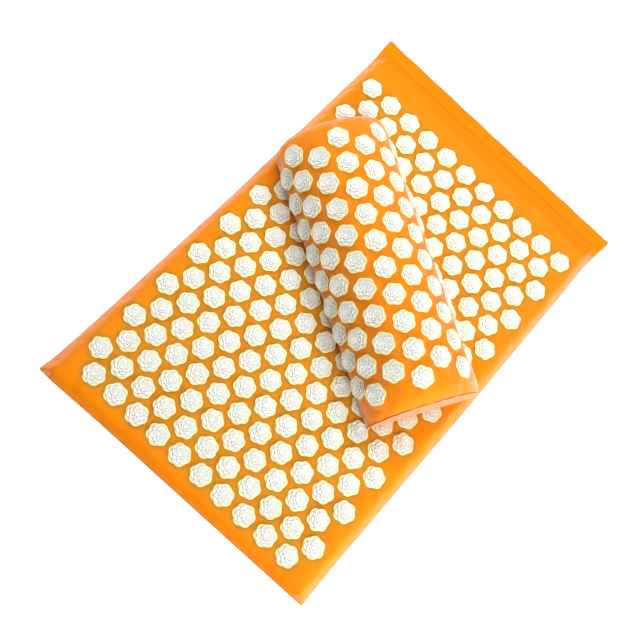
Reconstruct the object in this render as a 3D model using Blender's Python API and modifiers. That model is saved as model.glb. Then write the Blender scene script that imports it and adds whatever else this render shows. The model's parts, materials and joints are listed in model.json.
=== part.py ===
"""Acupressure mat with a half-round neck pillow lying across it.

Metres, +Z up. The origin is at the centre of the mat's underside, +X runs
across the mat and +Y runs along it towards the closure flap. Covers are open
sheets with a Solidify modifier, and every row of lotus discs is one mesh.
"""

import math

import bmesh
import bpy
import numpy as np
from mathutils import Matrix, Vector

# Fits and fabric
touch_gap = 0.0003
cut_overrun = 0.002
fabric_thickness = 0.0010
tape_thickness = 0.0013

# Mat
mat_width = 0.418
mat_length = 0.670
mat_foam_thickness = 0.0184
mat_edge_round = 0.0118
mat_far_slope = 0.024
mat_side_draw_in = 0.0038
mat_draw_in_power = 7
mat_front_flat = 0.0046
foam_inset_share = 0.68
foam_round_share = 0.42

# Closure band at the far end of the mat
closure_band = 0.0205
closure_tape_width = 0.016
closure_tape_end_margin = 0.012

# Lotus discs, the same on mat and pillow
disc_radius = 0.0151
disc_height = 0.0045
disc_rim_height = 0.0010
disc_outer_petal_height = 0.0019
disc_groove_height = 0.0011
disc_inner_petal_height = 0.0021
disc_foot_share = 0.92
disc_outer_petal_share = 0.79
disc_groove_share = 0.66
disc_inner_petal_share = 0.57
disc_petals = 6
disc_link_width = 0.0012

# Disc pattern
mat_disc_gap = 0.0048
mat_row_share = 0.83
mat_disc_shift_x = -0.0025
pillow_disc_gap = 0.0055
pillow_row_share = 0.872
pillow_row_shift = 0.015
pillow_pattern_margin = 0.0105

# Pillow
pillow_length = 0.384
pillow_width = 0.156
pillow_height = 0.084
pillow_section_power = 2.2
pillow_side_draw_in = 0.002
pillow_end_droop = 0.012
pillow_end_power = 9
pillow_end_bulge = 0.004
pillow_foam_ease = 0.0006
pillow_overlap = 0.022
pillow_overlap_ramp = 0.008
pillow_tape_width = 0.016
pillow_tape_end_margin = 0.014
pillow_centre_x = -0.003
pillow_centre_y = 0.0411
pillow_turn = math.radians(-30)

# Mesh fineness
round_steps = 4
side_steps = 8
section_steps = 24
section_samples = 720
panel_steps = 4
foam_round_steps = 3
smooth_angle = math.radians(35)
pillow_station_shares = (0.0, 0.3, 0.6, 0.78, 0.88, 0.94, 1.0)

# Heights in the mat, from its underside up
mat_foam_bottom = fabric_thickness + touch_gap
mat_top = mat_foam_bottom + mat_foam_thickness + touch_gap + fabric_thickness
mat_seam_height = fabric_thickness + touch_gap
loop_tape_bottom = fabric_thickness + touch_gap
hook_tape_bottom = loop_tape_bottom + tape_thickness + touch_gap
upper_lip_bottom = hook_tape_bottom + tape_thickness + touch_gap
mat_disc_bottom = mat_top + touch_gap
pillow_bottom = mat_disc_bottom + disc_height + touch_gap

# Height of the studded cover's lower edge over the pillow's underside
pillow_rim_height = fabric_thickness + touch_gap

# Places along the mat
flap_hinge_y = mat_length / 2 - closure_band
flap_hinge_z = upper_lip_bottom + fabric_thickness

ORANGE = (0.98, 0.27, 0.01, 1.0)
ORANGE_DARK = (0.90, 0.24, 0.01, 1.0)
IVORY = (0.94, 0.93, 0.84, 1.0)
FOAM = (0.92, 0.90, 0.80, 1.0)
TAPE = (0.95, 0.33, 0.05, 1.0)


def clear_scene():
    """Remove whatever the file holds, so that the part stands alone."""
    for obj in list(bpy.data.objects):
        bpy.data.objects.remove(obj, do_unlink=True)


def new_collection(name):
    """Make a collection under the scene."""
    collection = bpy.data.collections.new(name)
    bpy.context.scene.collection.children.link(collection)
    return collection


def new_material(name, colour, roughness):
    """A plain Principled finish."""
    material = bpy.data.materials.new(name)
    material.use_nodes = True
    shader = material.node_tree.nodes["Principled BSDF"]
    shader.inputs["Base Color"].default_value = colour
    shader.inputs["Roughness"].default_value = roughness
    shader.inputs["Metallic"].default_value = 0.0
    return material


def new_anchor(name, location, turn=0.0):
    """An empty that carries a moving body, with its origin on the joint."""
    anchor = bpy.data.objects.new(name, None)
    anchor.location = location
    anchor.rotation_euler = (0.0, 0.0, turn)
    part_collection.objects.link(anchor)
    return anchor


def add_object(name, bm, material_args, parent=None, smooth=True):
    """Turn a bmesh into one named object with its own material."""
    bmesh.ops.recalc_face_normals(bm, faces=bm.faces)
    mesh = bpy.data.meshes.new(name)
    bm.to_mesh(mesh)
    bm.free()
    if smooth:
        mesh.shade_smooth()
        mesh.set_sharp_from_angle(angle=smooth_angle)
    obj = bpy.data.objects.new(name, mesh)
    mesh.materials.append(new_material(name, *material_args))
    part_collection.objects.link(obj)
    obj.parent = parent
    return obj


def grid(columns, rows, place):
    """An open grid whose vertex (i, j) lies at place(columns[i], rows[j])."""
    bm = bmesh.new()
    across = len(columns) - 1
    along = len(rows) - 1
    bmesh.ops.create_grid(bm, x_segments=across, y_segments=along, size=0.5)
    for vert in bm.verts:
        i = round((vert.co.x + 0.5) * across)
        j = round((vert.co.y + 0.5) * along)
        vert.co = place(columns[i], rows[j])
    return bm


def thicken(obj, thickness, side):
    """Give an open sheet its thickness on one side of its surface."""
    shell = obj.modifiers.new("thickness", "SOLIDIFY")
    shell.thickness = thickness
    shell.offset = side
    shell.use_even_offset = True
    shell.use_rim = True


def face_along(bm, direction):
    """Turn an open sheet so that its normals point one way on the whole."""
    bmesh.ops.recalc_face_normals(bm, faces=bm.faces)
    if sum(face.normal.dot(direction) * face.calc_area() for face in bm.faces) < 0:
        bmesh.ops.reverse_faces(bm, faces=bm.faces)


def add_sheet(name, bm, side, material_args, parent=None, facing=(0, 0, 1)):
    """An open grid made into a panel of fabric. Side 1 thickens it along the
    way that it faces, and side -1 against it."""
    face_along(bm, Vector(facing))
    mesh = bpy.data.meshes.new(name)
    bm.to_mesh(mesh)
    bm.free()
    mesh.shade_smooth()
    obj = bpy.data.objects.new(name, mesh)
    mesh.materials.append(new_material(name, *material_args))
    part_collection.objects.link(obj)
    obj.parent = parent
    thicken(obj, fabric_thickness, side)
    return obj


def add_box(name, low, high, material_args, parent=None):
    """A closed box between two corners, given in the parent's frame."""
    low = Vector(low)
    high = Vector(high)
    bm = bmesh.new()
    bmesh.ops.create_cube(bm, size=1.0)
    bmesh.ops.scale(bm, vec=high - low, verts=bm.verts)
    bmesh.ops.translate(bm, vec=(low + high) / 2, verts=bm.verts)
    return add_object(name, bm, material_args, parent, smooth=False)


def add_round_box(name, low, high, radius, material_args, parent=None):
    """A box with all its edges rounded, such as a foam slab in its cover."""
    obj = add_box(name, low, high, material_args, parent)
    bevel = obj.modifiers.new("rounded_edges", "BEVEL")
    bevel.width = radius
    bevel.segments = foam_round_steps
    bevel.limit_method = "ANGLE"
    return obj


def mat_half_width(y):
    """Half the mat's width at y: the foam draws the long sides in."""
    reach = min(abs(y) / (mat_length / 2), 1.0)
    return mat_width / 2 - mat_side_draw_in * (1 - reach ** mat_draw_in_power)


def round_shares():
    """Pairs of inset share and height share along a quarter ellipse."""
    angles = [math.pi / 2 * k / round_steps for k in range(round_steps + 1)]
    return [(1 - math.cos(a), math.sin(a)) for a in angles]


def mat_columns():
    """Side, inset and height share of every grid line across the mat."""
    left = [(-1, mat_edge_round * inset, rise) for inset, rise in round_shares()]
    right = [(1, inset, rise) for side, inset, rise in reversed(left)]
    return left + right


def mat_rows():
    """Place and height share of every grid line along the mat's top panel."""
    front_y = -mat_length / 2
    far_y = flap_hinge_y - touch_gap
    front = [(front_y + mat_edge_round * inset, rise) for inset, rise in round_shares()]
    far = [(far_y - mat_far_slope * inset, rise) for inset, rise in reversed(round_shares())]
    start = front[-1][0]
    step = (far[0][0] - start) / side_steps
    middle = [(start + step * k, 1.0) for k in range(1, side_steps)]
    return front + middle + far


def mat_rim_height(y):
    """Height of the top panel's edge: it climbs to the flap at the far end."""
    slope_start = flap_hinge_y - mat_far_slope
    reach = min(max((y - slope_start) / mat_far_slope, 0.0), 1.0)
    return mat_seam_height + (upper_lip_bottom - mat_seam_height) * reach


def mat_top_point(column, row):
    """A point of the mat's upper surface."""
    side, inset, side_rise = column
    y, end_rise = row
    rim = mat_rim_height(y) + fabric_thickness
    height = rim + (mat_top - rim) * side_rise * end_rise
    return (side * (mat_half_width(y) - inset), y, height)


def mat_bottom_point(side, y):
    """A point of the mat's underside."""
    return (side * mat_half_width(y), y, 0.0)


def add_mat_covers():
    """The studded top panel and the plain bottom panel."""
    top = grid(mat_columns(), mat_rows(), mat_top_point)
    add_sheet("mat_top_cover", top, -1, (ORANGE, 0.85))
    rows = [mat_length * (k / side_steps - 0.5) for k in range(side_steps + 1)]
    bottom = grid([-1, 1], rows, mat_bottom_point)
    add_sheet("mat_bottom_cover", bottom, 1, (ORANGE_DARK, 0.85))


def add_mat_foam():
    """The slab that fills the cover, with its edges pressed round."""
    half_width = mat_half_width(0) - mat_edge_round * foam_inset_share
    front_y = -mat_length / 2 + mat_edge_round * foam_inset_share
    far_y = flap_hinge_y - mat_far_slope * foam_inset_share
    low = (-half_width, front_y, mat_foam_bottom)
    high = (half_width, far_y, mat_foam_bottom + mat_foam_thickness)
    add_round_box("mat_foam_core", low, high, mat_foam_thickness * foam_round_share, (FOAM, 0.95))


def add_mat_closure():
    """The flap with its hook tape, hinged on its fold, and the loop tape."""
    half_width = mat_width / 2
    tape_half = half_width - closure_tape_end_margin
    tape_front = flap_hinge_y + (closure_band - closure_tape_width) / 2
    tape_far = tape_front + closure_tape_width
    fold = new_anchor("closure_fold_line", (0.0, flap_hinge_y, flap_hinge_z))
    flap_low = (-half_width, 0.0, -fabric_thickness)
    flap_high = (half_width, closure_band, 0.0)
    add_box("mat_closure_flap", flap_low, flap_high, (ORANGE, 0.85), fold)
    hook_low = (-tape_half, tape_front - flap_hinge_y, hook_tape_bottom - flap_hinge_z)
    hook_top = hook_tape_bottom + tape_thickness - flap_hinge_z
    hook_high = (tape_half, tape_far - flap_hinge_y, hook_top)
    add_box("mat_hook_tape", hook_low, hook_high, (TAPE, 0.7), fold)
    loop_low = (-tape_half, tape_front, loop_tape_bottom)
    loop_high = (tape_half, tape_far, loop_tape_bottom + tape_thickness)
    add_box("mat_loop_tape", loop_low, loop_high, (TAPE, 0.95))


def ring_point(radius, angle, height):
    """A point on a level ring round the disc's axis."""
    return Vector((radius * math.cos(angle), radius * math.sin(angle), height))


def lobe_angles():
    """Angles of the outline's points: the lobes along the row are blunt, with
    two points, so that a link can start there."""
    blunt = math.asin(disc_link_width / 2 / disc_radius)
    angles = []
    for k in range(disc_petals):
        middle = 2 * math.pi * k / disc_petals
        if k % (disc_petals // 2) == 0:
            angles += [middle - blunt, middle + blunt]
        else:
            angles.append(middle)
    return angles


def petal_ring(bm, frame, share, height, offset=0.0):
    """One vertex for each petal, on a level ring round the disc's axis."""
    turn = 2 * math.pi / disc_petals
    points = [ring_point(disc_radius * share, turn * (k + offset), height) for k in range(disc_petals)]
    return [bm.verts.new(frame @ point) for point in points]


def add_disc(bm, frame):
    """One lotus disc: a foot, a low rim of pointed lobes, a ring of petals
    between the lobes, a groove, an inner ring of petals that climbs to the
    raised centre. Returns its two blunt lobe faces."""
    angles = lobe_angles()
    count = len(angles)
    foot = [bm.verts.new(frame @ ring_point(disc_radius * disc_foot_share, a, 0.0)) for a in angles]
    rim = [bm.verts.new(frame @ ring_point(disc_radius, a, disc_rim_height)) for a in angles]
    outer = petal_ring(bm, frame, disc_outer_petal_share, disc_outer_petal_height, offset=0.5)
    groove = petal_ring(bm, frame, disc_groove_share, disc_groove_height)
    inner = petal_ring(bm, frame, disc_inner_petal_share, disc_inner_petal_height)
    centre = bm.verts.new(frame @ Vector((0.0, 0.0, disc_height)))
    bm.faces.new(list(reversed(foot)))
    walls = []
    for k in range(count):
        after = (k + 1) % count
        walls.append(bm.faces.new((foot[k], foot[after], rim[after], rim[k])))
    corner = 0
    for k in range(disc_petals):
        after = (k + 1) % disc_petals
        points = 2 if k % (disc_petals // 2) == 0 else 1
        lobe = rim[corner:corner + points]
        bm.faces.new([outer[k - 1]] + lobe + [outer[k]])
        bm.faces.new((outer[k], lobe[-1], rim[(corner + points) % count]))
        bm.faces.new((outer[k - 1], outer[k], groove[k]))
        bm.faces.new((groove[k], outer[k], groove[after]))
        bm.faces.new((groove[k], groove[after], inner[after], inner[k]))
        bm.faces.new((inner[k], inner[after], centre))
        corner += points
    return walls[0], walls[count // 2]


def add_disc_row(name, frames, parent=None):
    """A row of discs, each joined to the next by a thin link."""
    bm = bmesh.new()
    lobes = [add_disc(bm, frame) for frame in frames]
    for first, second in zip(lobes, lobes[1:]):
        ahead = first[0]
        behind = second[1]
        edges = list(ahead.edges) + list(behind.edges)
        bmesh.ops.delete(bm, geom=[ahead, behind], context="FACES_ONLY")
        bmesh.ops.bridge_loops(bm, edges=edges)
    return add_object(name, bm, (IVORY, 0.45), parent, smooth=False)


def row_places(count, pitch):
    """Places along a row, centred on zero."""
    return [(k - (count - 1) / 2) * pitch for k in range(count)]


def add_mat_discs():
    """Rows of discs, short and long in turn, from the front edge back."""
    pitch = 2 * disc_radius + mat_disc_gap
    row_pitch = pitch * mat_row_share
    flat_width = mat_width - 2 * (mat_side_draw_in + mat_edge_round)
    long_count = int((flat_width - 2 * disc_radius) / pitch) + 1
    first_y = -mat_length / 2 + mat_edge_round + mat_front_flat + disc_radius
    last_y = flap_hinge_y - mat_far_slope - disc_radius
    row_count = int((last_y - first_y) / row_pitch) + 1
    for row in range(row_count):
        count = long_count - 1 + row % 2
        y = first_y + row * row_pitch
        places = [mat_disc_shift_x + x for x in row_places(count, pitch)]
        frames = [Matrix.Translation((x, y, mat_disc_bottom)) for x in places]
        add_disc_row(f"mat_disc_row_{row + 1:02d}", frames)


def pillow_reach(t):
    """Share of the half length at t, raised so that only the ends count."""
    return min(abs(t) / (pillow_length / 2), 1.0) ** pillow_end_power


def section_curve(inset):
    """Fine points (y, z) of the half-round section, front to rear, drawn in
    by the inset, with the share of the arc's length at each."""
    half_width = pillow_width / 2 - inset
    height = pillow_height - inset - pillow_rim_height
    power = 2 / pillow_section_power
    angle = np.linspace(0.0, math.pi, section_samples + 1)
    y = -half_width * np.sign(np.cos(angle)) * np.abs(np.cos(angle)) ** power
    z = pillow_rim_height + height * np.abs(np.sin(angle)) ** power
    arc = np.concatenate(([0.0], np.cumsum(np.hypot(np.diff(y), np.diff(z)))))
    return y, z, arc


def section_points(inset, steps):
    """Evenly spaced points of the section."""
    y, z, arc = section_curve(inset)
    places = np.linspace(0.0, arc[-1], steps + 1)
    return list(zip(np.interp(places, arc, y), np.interp(places, arc, z)))


def pillow_point(t, point):
    """A section point carried to t along the pillow, where the crown droops
    towards the ends and the long sides are drawn in between the corners."""
    y, z = point
    reach = pillow_reach(t)
    width_share = 1 - pillow_side_draw_in / (pillow_width / 2) * (1 - reach)
    rise = (z - pillow_rim_height) * (1 - pillow_end_droop / pillow_height * reach)
    return (t, y * width_share, pillow_rim_height + rise)


def pillow_stations(half_length):
    """Stations along the pillow, close together near its ends."""
    right = [half_length * share for share in pillow_station_shares]
    return [-t for t in reversed(right[1:])] + right


def add_pillow_cover(anchor):
    """The studded panel that wraps over the core from edge to edge."""
    half_length = pillow_length / 2 - fabric_thickness - touch_gap
    bm = grid(pillow_stations(half_length), section_points(0.0, section_steps), pillow_point)
    add_sheet("pillow_studded_cover", bm, -1, (ORANGE, 0.85), anchor)


def add_end_panel(name, side, anchor):
    """A half-round end panel, bulged a little by the core."""
    end = side * (pillow_length / 2 - fabric_thickness)

    def place(point, share):
        x, y, top = pillow_point(end, point)
        across = abs(y) / (pillow_width / 2)
        swell = pillow_end_bulge * (1 - across ** 2) * 4 * share * (1 - share)
        return (x + side * swell, y, top * share)

    shares = [k / panel_steps for k in range(panel_steps + 1)]
    points = section_points(0.0, section_steps)[1:-1]
    bm = grid(points, shares, place)
    add_sheet(name, bm, 1, (ORANGE, 0.85), anchor, facing=(side, 0, 0))


def base_half_width(t):
    """Half the width of the pillow's base at t."""
    return pillow_width / 2 - pillow_side_draw_in * (1 - pillow_reach(t))


def add_pillow_base(anchor):
    """Two base panels that overlap along the middle, with the closure tapes
    between them: the rear panel steps up over the front panel's edge."""
    half_length = pillow_length / 2 - fabric_thickness - touch_gap
    stations = pillow_stations(half_length)
    half_overlap = pillow_overlap / 2
    front = grid(
        stations,
        [0, 1],
        lambda t, share: (t, half_overlap if share else -base_half_width(t), 0.0),
    )
    add_sheet("pillow_base_front", front, 1, (ORANGE_DARK, 0.85), anchor)
    ramp_end = half_overlap + pillow_overlap_ramp
    steps = [(-half_overlap, upper_lip_bottom), (half_overlap, upper_lip_bottom), (ramp_end, 0.0)]

    def rear_place(t, step):
        if step is None:
            return (t, base_half_width(t), 0.0)
        return (t, step[0], step[1])

    rear = grid(stations, steps + [None], rear_place)
    add_sheet("pillow_base_rear", rear, 1, (ORANGE_DARK, 0.85), anchor)
    tape_half = half_length - pillow_tape_end_margin
    half_tape = pillow_tape_width / 2
    loop_low = (-tape_half, -half_tape, loop_tape_bottom)
    loop_high = (tape_half, half_tape, loop_tape_bottom + tape_thickness)
    add_box("pillow_loop_tape", loop_low, loop_high, (TAPE, 0.95), anchor)
    hook_low = (-tape_half, -half_tape, hook_tape_bottom)
    hook_high = (tape_half, half_tape, hook_tape_bottom + tape_thickness)
    add_box("pillow_hook_tape", hook_low, hook_high, (TAPE, 0.7), anchor)


def add_pillow_foam(anchor):
    """The half-round core, grooved where the closure presses into it."""
    inset = fabric_thickness + pillow_foam_ease
    half_length = pillow_length / 2 - fabric_thickness - inset
    section = section_points(inset, section_steps)
    stations = pillow_stations(half_length)
    bm = bmesh.new()
    rings = []
    for t in stations:
        rings.append([bm.verts.new(pillow_point(t, point)) for point in section])
    for first, second in zip(rings, rings[1:]):
        for k in range(len(first)):
            after = (k + 1) % len(first)
            bm.faces.new((first[k], first[after], second[after], second[k]))
    bm.faces.new(rings[0])
    bm.faces.new(list(reversed(rings[-1])))
    foam = add_object("pillow_foam_core", bm, (FOAM, 0.95), anchor)
    groove_half = half_length + cut_overrun
    groove_front = -pillow_overlap / 2 - touch_gap
    groove_rear = pillow_overlap / 2 + pillow_overlap_ramp + touch_gap
    groove_top = upper_lip_bottom + fabric_thickness + touch_gap
    groove = add_box(
        "closure_groove",
        (-groove_half, groove_front, 0.0),
        (groove_half, groove_rear, groove_top),
        (FOAM, 0.95),
        anchor,
    )
    part_collection.objects.unlink(groove)
    cutter_collection.objects.link(groove)
    groove.hide_render = True
    groove.display_type = "WIRE"
    cut = foam.modifiers.new("closure_groove", "BOOLEAN")
    cut.operation = "DIFFERENCE"
    cut.object = groove


def add_pillow_discs(anchor):
    """Rows along the pillow, each disc square to the cover under it."""
    pitch = 2 * disc_radius + pillow_disc_gap
    row_pitch = pitch * pillow_row_share
    y, z, arc = section_curve(0.0)
    used = 2 * (pillow_pattern_margin + disc_radius)
    long_count = int((pillow_length - used) / pitch) + 1
    row_count = int((arc[-1] - used) / row_pitch) + 1
    for row in range(row_count):
        count = long_count - 1 + row % 2
        place = arc[-1] / 2 - pillow_row_shift + (row - (row_count - 1) / 2) * row_pitch
        frames = [pillow_disc_frame(t, place, y, z, arc) for t in row_places(count, pitch)]
        add_disc_row(f"pillow_disc_row_{row + 1}", frames, anchor)


def pillow_disc_frame(t, place, y, z, arc):
    """The frame of a disc at t along the pillow and at a length of arc."""

    def surface(t, place):
        point = (np.interp(place, arc, y), np.interp(place, arc, z))
        return Vector(pillow_point(t, point))

    step = fabric_thickness
    along = (surface(t + step, place) - surface(t - step, place)).normalized()
    over = (surface(t, place + step) - surface(t, place - step)).normalized()
    up = along.cross(over).normalized()
    over = up.cross(along)
    seat = surface(t, place) + up * touch_gap
    frame = Matrix((along, over, up)).transposed().to_4x4()
    frame.translation = seat
    return frame


clear_scene()
part_collection = new_collection("acupressure_mat")
cutter_collection = new_collection("cutters")
pillow_seat = (pillow_centre_x, pillow_centre_y, pillow_bottom)
pillow_anchor = new_anchor("pillow_seat", pillow_seat, pillow_turn)

add_mat_covers()
add_mat_foam()
add_mat_closure()
add_mat_discs()
add_pillow_cover(pillow_anchor)
add_end_panel("pillow_right_end_panel", 1, pillow_anchor)
add_end_panel("pillow_left_end_panel", -1, pillow_anchor)
add_pillow_base(pillow_anchor)
add_pillow_foam(pillow_anchor)
add_pillow_discs(pillow_anchor)
bpy.context.view_layer.update()
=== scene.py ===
# %% [markdown]
# # An acupressure mat and its neck pillow
# The real object is a slab of foam in a sewn cotton cover, and a half-round pillow made the
# same way lies across it. Both carry rows of hard plastic discs, moulded like a lotus flower.
# The frame already holds every piece at its real size. This script dresses that frame:
# fine discs in place of the plain ones, cloth that swells between them, foam, tape and
# stitches. Everything is measured from the frame, so nothing has to be fitted by eye.

# %% Load the frame
import json
import math

import bpy
import numpy as np
from mathutils import Matrix, Vector


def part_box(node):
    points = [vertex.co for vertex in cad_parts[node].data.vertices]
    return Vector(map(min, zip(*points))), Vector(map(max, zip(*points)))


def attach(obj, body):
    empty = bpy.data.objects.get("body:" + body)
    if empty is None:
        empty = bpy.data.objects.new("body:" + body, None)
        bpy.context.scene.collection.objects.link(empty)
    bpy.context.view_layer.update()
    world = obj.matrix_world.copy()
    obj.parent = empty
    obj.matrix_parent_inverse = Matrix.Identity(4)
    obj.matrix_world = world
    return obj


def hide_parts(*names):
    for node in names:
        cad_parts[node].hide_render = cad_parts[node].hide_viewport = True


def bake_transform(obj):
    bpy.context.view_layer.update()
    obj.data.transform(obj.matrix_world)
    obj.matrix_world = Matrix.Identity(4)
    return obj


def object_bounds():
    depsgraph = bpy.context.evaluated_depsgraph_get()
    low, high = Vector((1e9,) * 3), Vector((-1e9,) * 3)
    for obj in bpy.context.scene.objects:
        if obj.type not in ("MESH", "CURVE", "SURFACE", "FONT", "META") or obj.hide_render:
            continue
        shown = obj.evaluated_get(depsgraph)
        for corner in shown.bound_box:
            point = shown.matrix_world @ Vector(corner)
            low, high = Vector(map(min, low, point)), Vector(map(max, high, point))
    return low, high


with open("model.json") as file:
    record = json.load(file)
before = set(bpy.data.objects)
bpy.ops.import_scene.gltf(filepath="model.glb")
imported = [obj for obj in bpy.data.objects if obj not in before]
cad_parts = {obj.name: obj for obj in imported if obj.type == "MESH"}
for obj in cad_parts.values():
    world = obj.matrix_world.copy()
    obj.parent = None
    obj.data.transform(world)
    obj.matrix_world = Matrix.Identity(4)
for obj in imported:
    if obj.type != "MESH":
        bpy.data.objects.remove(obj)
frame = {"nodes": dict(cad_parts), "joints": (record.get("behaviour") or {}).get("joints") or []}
cad_low, cad_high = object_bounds()
joints = {joint["name"]: joint for joint in frame["joints"]}
mm = 0.001


def place_object(name, data):
    """A new object of the scene that holds this data."""
    placed = bpy.data.objects.new(name, data)
    bpy.context.scene.collection.objects.link(placed)
    return placed


def stand_in(piece, body, node):
    """Set a piece on its body, in place of a node of the frame."""
    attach(piece, body)
    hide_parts(node)


print("frame box", tuple(round(side / mm, 1) for side in cad_high - cad_low), "mm")

# %% [markdown]
# ## The camera
# The mat was photographed from high above, and the picture is turned so that the mat lies
# on its corner. A camera is easiest to place by three facts: where it stands, the point
# that it looks at, and how far it is rolled about its own line of sight.

# %% Place the camera
camera_place = Vector((0.0259, -0.5937, 1.3619))
camera_aim = Vector((-0.0097, -0.0554, 0.0237))
camera_roll = math.radians(39.59)
camera_lens = 64.02
camera_sensor = 36.0


def add_camera():
    """A camera that looks at the aim point, rolled about its line of sight."""
    data = bpy.data.cameras.new("studio_camera")
    data.lens = camera_lens
    data.sensor_width = camera_sensor
    camera = place_object("studio_camera", data)
    look = (camera_aim - camera_place).to_track_quat("-Z", "Y")
    turn = look.to_matrix() @ Matrix.Rotation(camera_roll, 3, "Z")
    camera.matrix_world = Matrix.LocRotScale(camera_place, turn, None)
    bpy.context.scene.camera = camera


add_camera()
print("camera distance", round((camera_aim - camera_place).length, 3), "m")

# %% [markdown]
# ## Light and ground
# Bright orange and near-white plastic clip easily, so the lamps only bring a white sheet of
# paper up to white and no further. Low lamps on both sides light the slopes of the cloth,
# and a small one above the far end makes that end a little brighter than the near one. The
# paper-white ground is made in its own material: what the camera sees of it is lifted to
# white, and the light that falls on the object isn't.

# %% Light the studio
sky_strength = 0.41
key_strength = 0.12
key_angle = math.radians(30)
key_direction = Vector((0.45, 0.14, 1.0))
side_lamp_size = (1.6, 0.5)
side_lamps = ((Vector((1.36, -0.58, 0.35)), 36.0), (Vector((-1.32, 0.40, 0.38)), 12.0))
far_lamp_watts = 7.1
far_lamp_size = (0.7, 0.35)
far_lamp_place = Vector((-0.05, 0.62, 1.0))
ground_size = 14.0
ground_colour = (0.93, 0.93, 0.93, 1.0)
ground_lift = 0.40
ground_gap = 0.2 * mm
paper_white = (1.0, 1.0, 1.0, 1.0)


def fill_inputs(tree, node, inputs):
    """Fill inputs of a node, by name or number, each with a value or a link from a socket."""
    for place, value in inputs.items():
        if isinstance(value, bpy.types.NodeSocket):
            tree.links.new(value, node.inputs[place])
        else:
            node.inputs[place].default_value = value


def add_node(tree, kind, inputs=None, **settings):
    """Add a shader node, set its properties and fill its inputs."""
    node = tree.nodes.new(kind)
    for name, value in settings.items():
        setattr(node, name, value)
    fill_inputs(tree, node, inputs or {})
    return node


def math_node(tree, operation, *values):
    """A math node on one or two values or sockets."""
    inputs = dict(enumerate(values))
    return add_node(tree, "ShaderNodeMath", inputs, operation=operation).outputs[0]


def seen_directly(tree):
    """One for rays from the camera, in a mirror or through glass, else zero."""
    rays = add_node(tree, "ShaderNodeLightPath").outputs
    seen = math_node(tree, "MAXIMUM", rays["Is Camera Ray"], rays["Is Glossy Ray"])
    return math_node(tree, "MAXIMUM", seen, rays["Is Transmission Ray"])


def add_soft_box(name, place, size, watts):
    """A broad lamp that faces the mat."""
    box = bpy.data.lights.new(name, "AREA")
    box.shape = "RECTANGLE"
    box.size, box.size_y = size
    box.energy = watts
    aim = (camera_aim - place).to_track_quat("-Z", "Z")
    place_object(name, box).matrix_world = Matrix.LocRotScale(place, aim, None)


def light_studio():
    """A soft sky that looks like paper, a broad soft key lamp and three soft boxes."""
    scene = bpy.context.scene
    scene.view_settings.view_transform = "Standard"
    world = bpy.data.worlds.new("soft_sky")
    world.use_nodes = True
    scene.world = world
    tree = world.node_tree
    sky = tree.nodes["Background"]
    fill_inputs(tree, sky, {"Color": paper_white, "Strength": sky_strength})
    paper = add_node(tree, "ShaderNodeBackground", {"Color": paper_white})
    parts = {0: seen_directly(tree), 1: sky.outputs[0], 2: paper.outputs[0]}
    mix = add_node(tree, "ShaderNodeMixShader", parts)
    fill_inputs(tree, tree.nodes["World Output"], {0: mix.outputs[0]})

    lamp = bpy.data.lights.new("key_lamp", "SUN")
    lamp.energy = key_strength
    lamp.angle = key_angle
    key = place_object("key_lamp", lamp)
    key.rotation_mode = "QUATERNION"
    key.rotation_quaternion = key_direction.to_track_quat("Z", "Y")
    for place, watts in side_lamps:
        add_soft_box("side_lamp", place, side_lamp_size, watts)
    add_soft_box("far_lamp", far_lamp_place, far_lamp_size, far_lamp_watts)


def add_ground():
    """A wide sheet of paper just under the mat, which keeps the mat's shadow."""
    half = ground_size / 2
    mesh = bpy.data.meshes.new("ground")
    corners = [(-half, -half, 0.0), (half, -half, 0.0), (half, half, 0.0), (-half, half, 0.0)]
    mesh.from_pydata(corners, [], [(0, 1, 2, 3)])
    ground = place_object("ground", mesh)
    ground.location.z = cad_low.z - ground_gap
    material = bpy.data.materials.new("paper_ground")
    material.use_nodes = True
    tree = material.node_tree
    tree.nodes.remove(tree.nodes["Principled BSDF"])
    diffuse = add_node(tree, "ShaderNodeBsdfDiffuse", {"Color": ground_colour})
    strength = math_node(tree, "MULTIPLY", seen_directly(tree), ground_lift)
    lift = add_node(tree, "ShaderNodeEmission", {"Strength": strength})
    both = add_node(tree, "ShaderNodeAddShader", {0: diffuse.outputs[0], 1: lift.outputs[0]})
    fill_inputs(tree, tree.nodes["Material Output"], {0: both.outputs[0]})
    mesh.materials.append(material)


light_studio()
add_ground()
print("sky", sky_strength, "key", key_strength)

# %% [markdown]
# ## Small tools for meshes
# Cloth is easiest to think of as a sheet with two directions, so most pieces here are
# grids: rows and columns of points with a square face between every four. Each grid also
# gets a cloth map in metres, the place of every point on the flat cut, which the woven
# material reads. That keeps the threads the same size wherever the cloth bends.

# %% Build grids
crisp_angle = math.radians(55)


def grid_faces(rows, columns, closed=False):
    """Faces of a grid whose points are numbered row by row."""
    row, column = np.meshgrid(np.arange(rows - 1), np.arange(columns - (not closed)), indexing="ij")
    after = (column + 1) % columns
    a = row * columns + column
    b = row * columns + after
    c = (row + 1) * columns + after
    d = (row + 1) * columns + column
    return np.stack([a, b, c, d], axis=-1).reshape(-1, 4)


def lengths_along(points, axis):
    """Running length along one axis of a grid of points, from its first point."""
    steps = np.linalg.norm(np.diff(points, axis=axis), axis=-1)
    start = np.zeros_like(np.take(steps, [0], axis=axis))
    return np.concatenate([start, np.cumsum(steps, axis=axis)], axis=axis)


def cloth_map(points):
    """Place of each grid point on the flat cut, in metres."""
    return np.stack([lengths_along(points, 1), lengths_along(points, 0)], axis=-1)


def joined_copies(copies, faces):
    """Points and faces of many copies of one shape, given the points of each copy."""
    count = len(copies[0])
    starts = range(0, count * len(copies), count)
    all_faces = [tuple(corner + start for corner in face) for start in starts for face in faces]
    return np.concatenate(copies), all_faces


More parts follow.
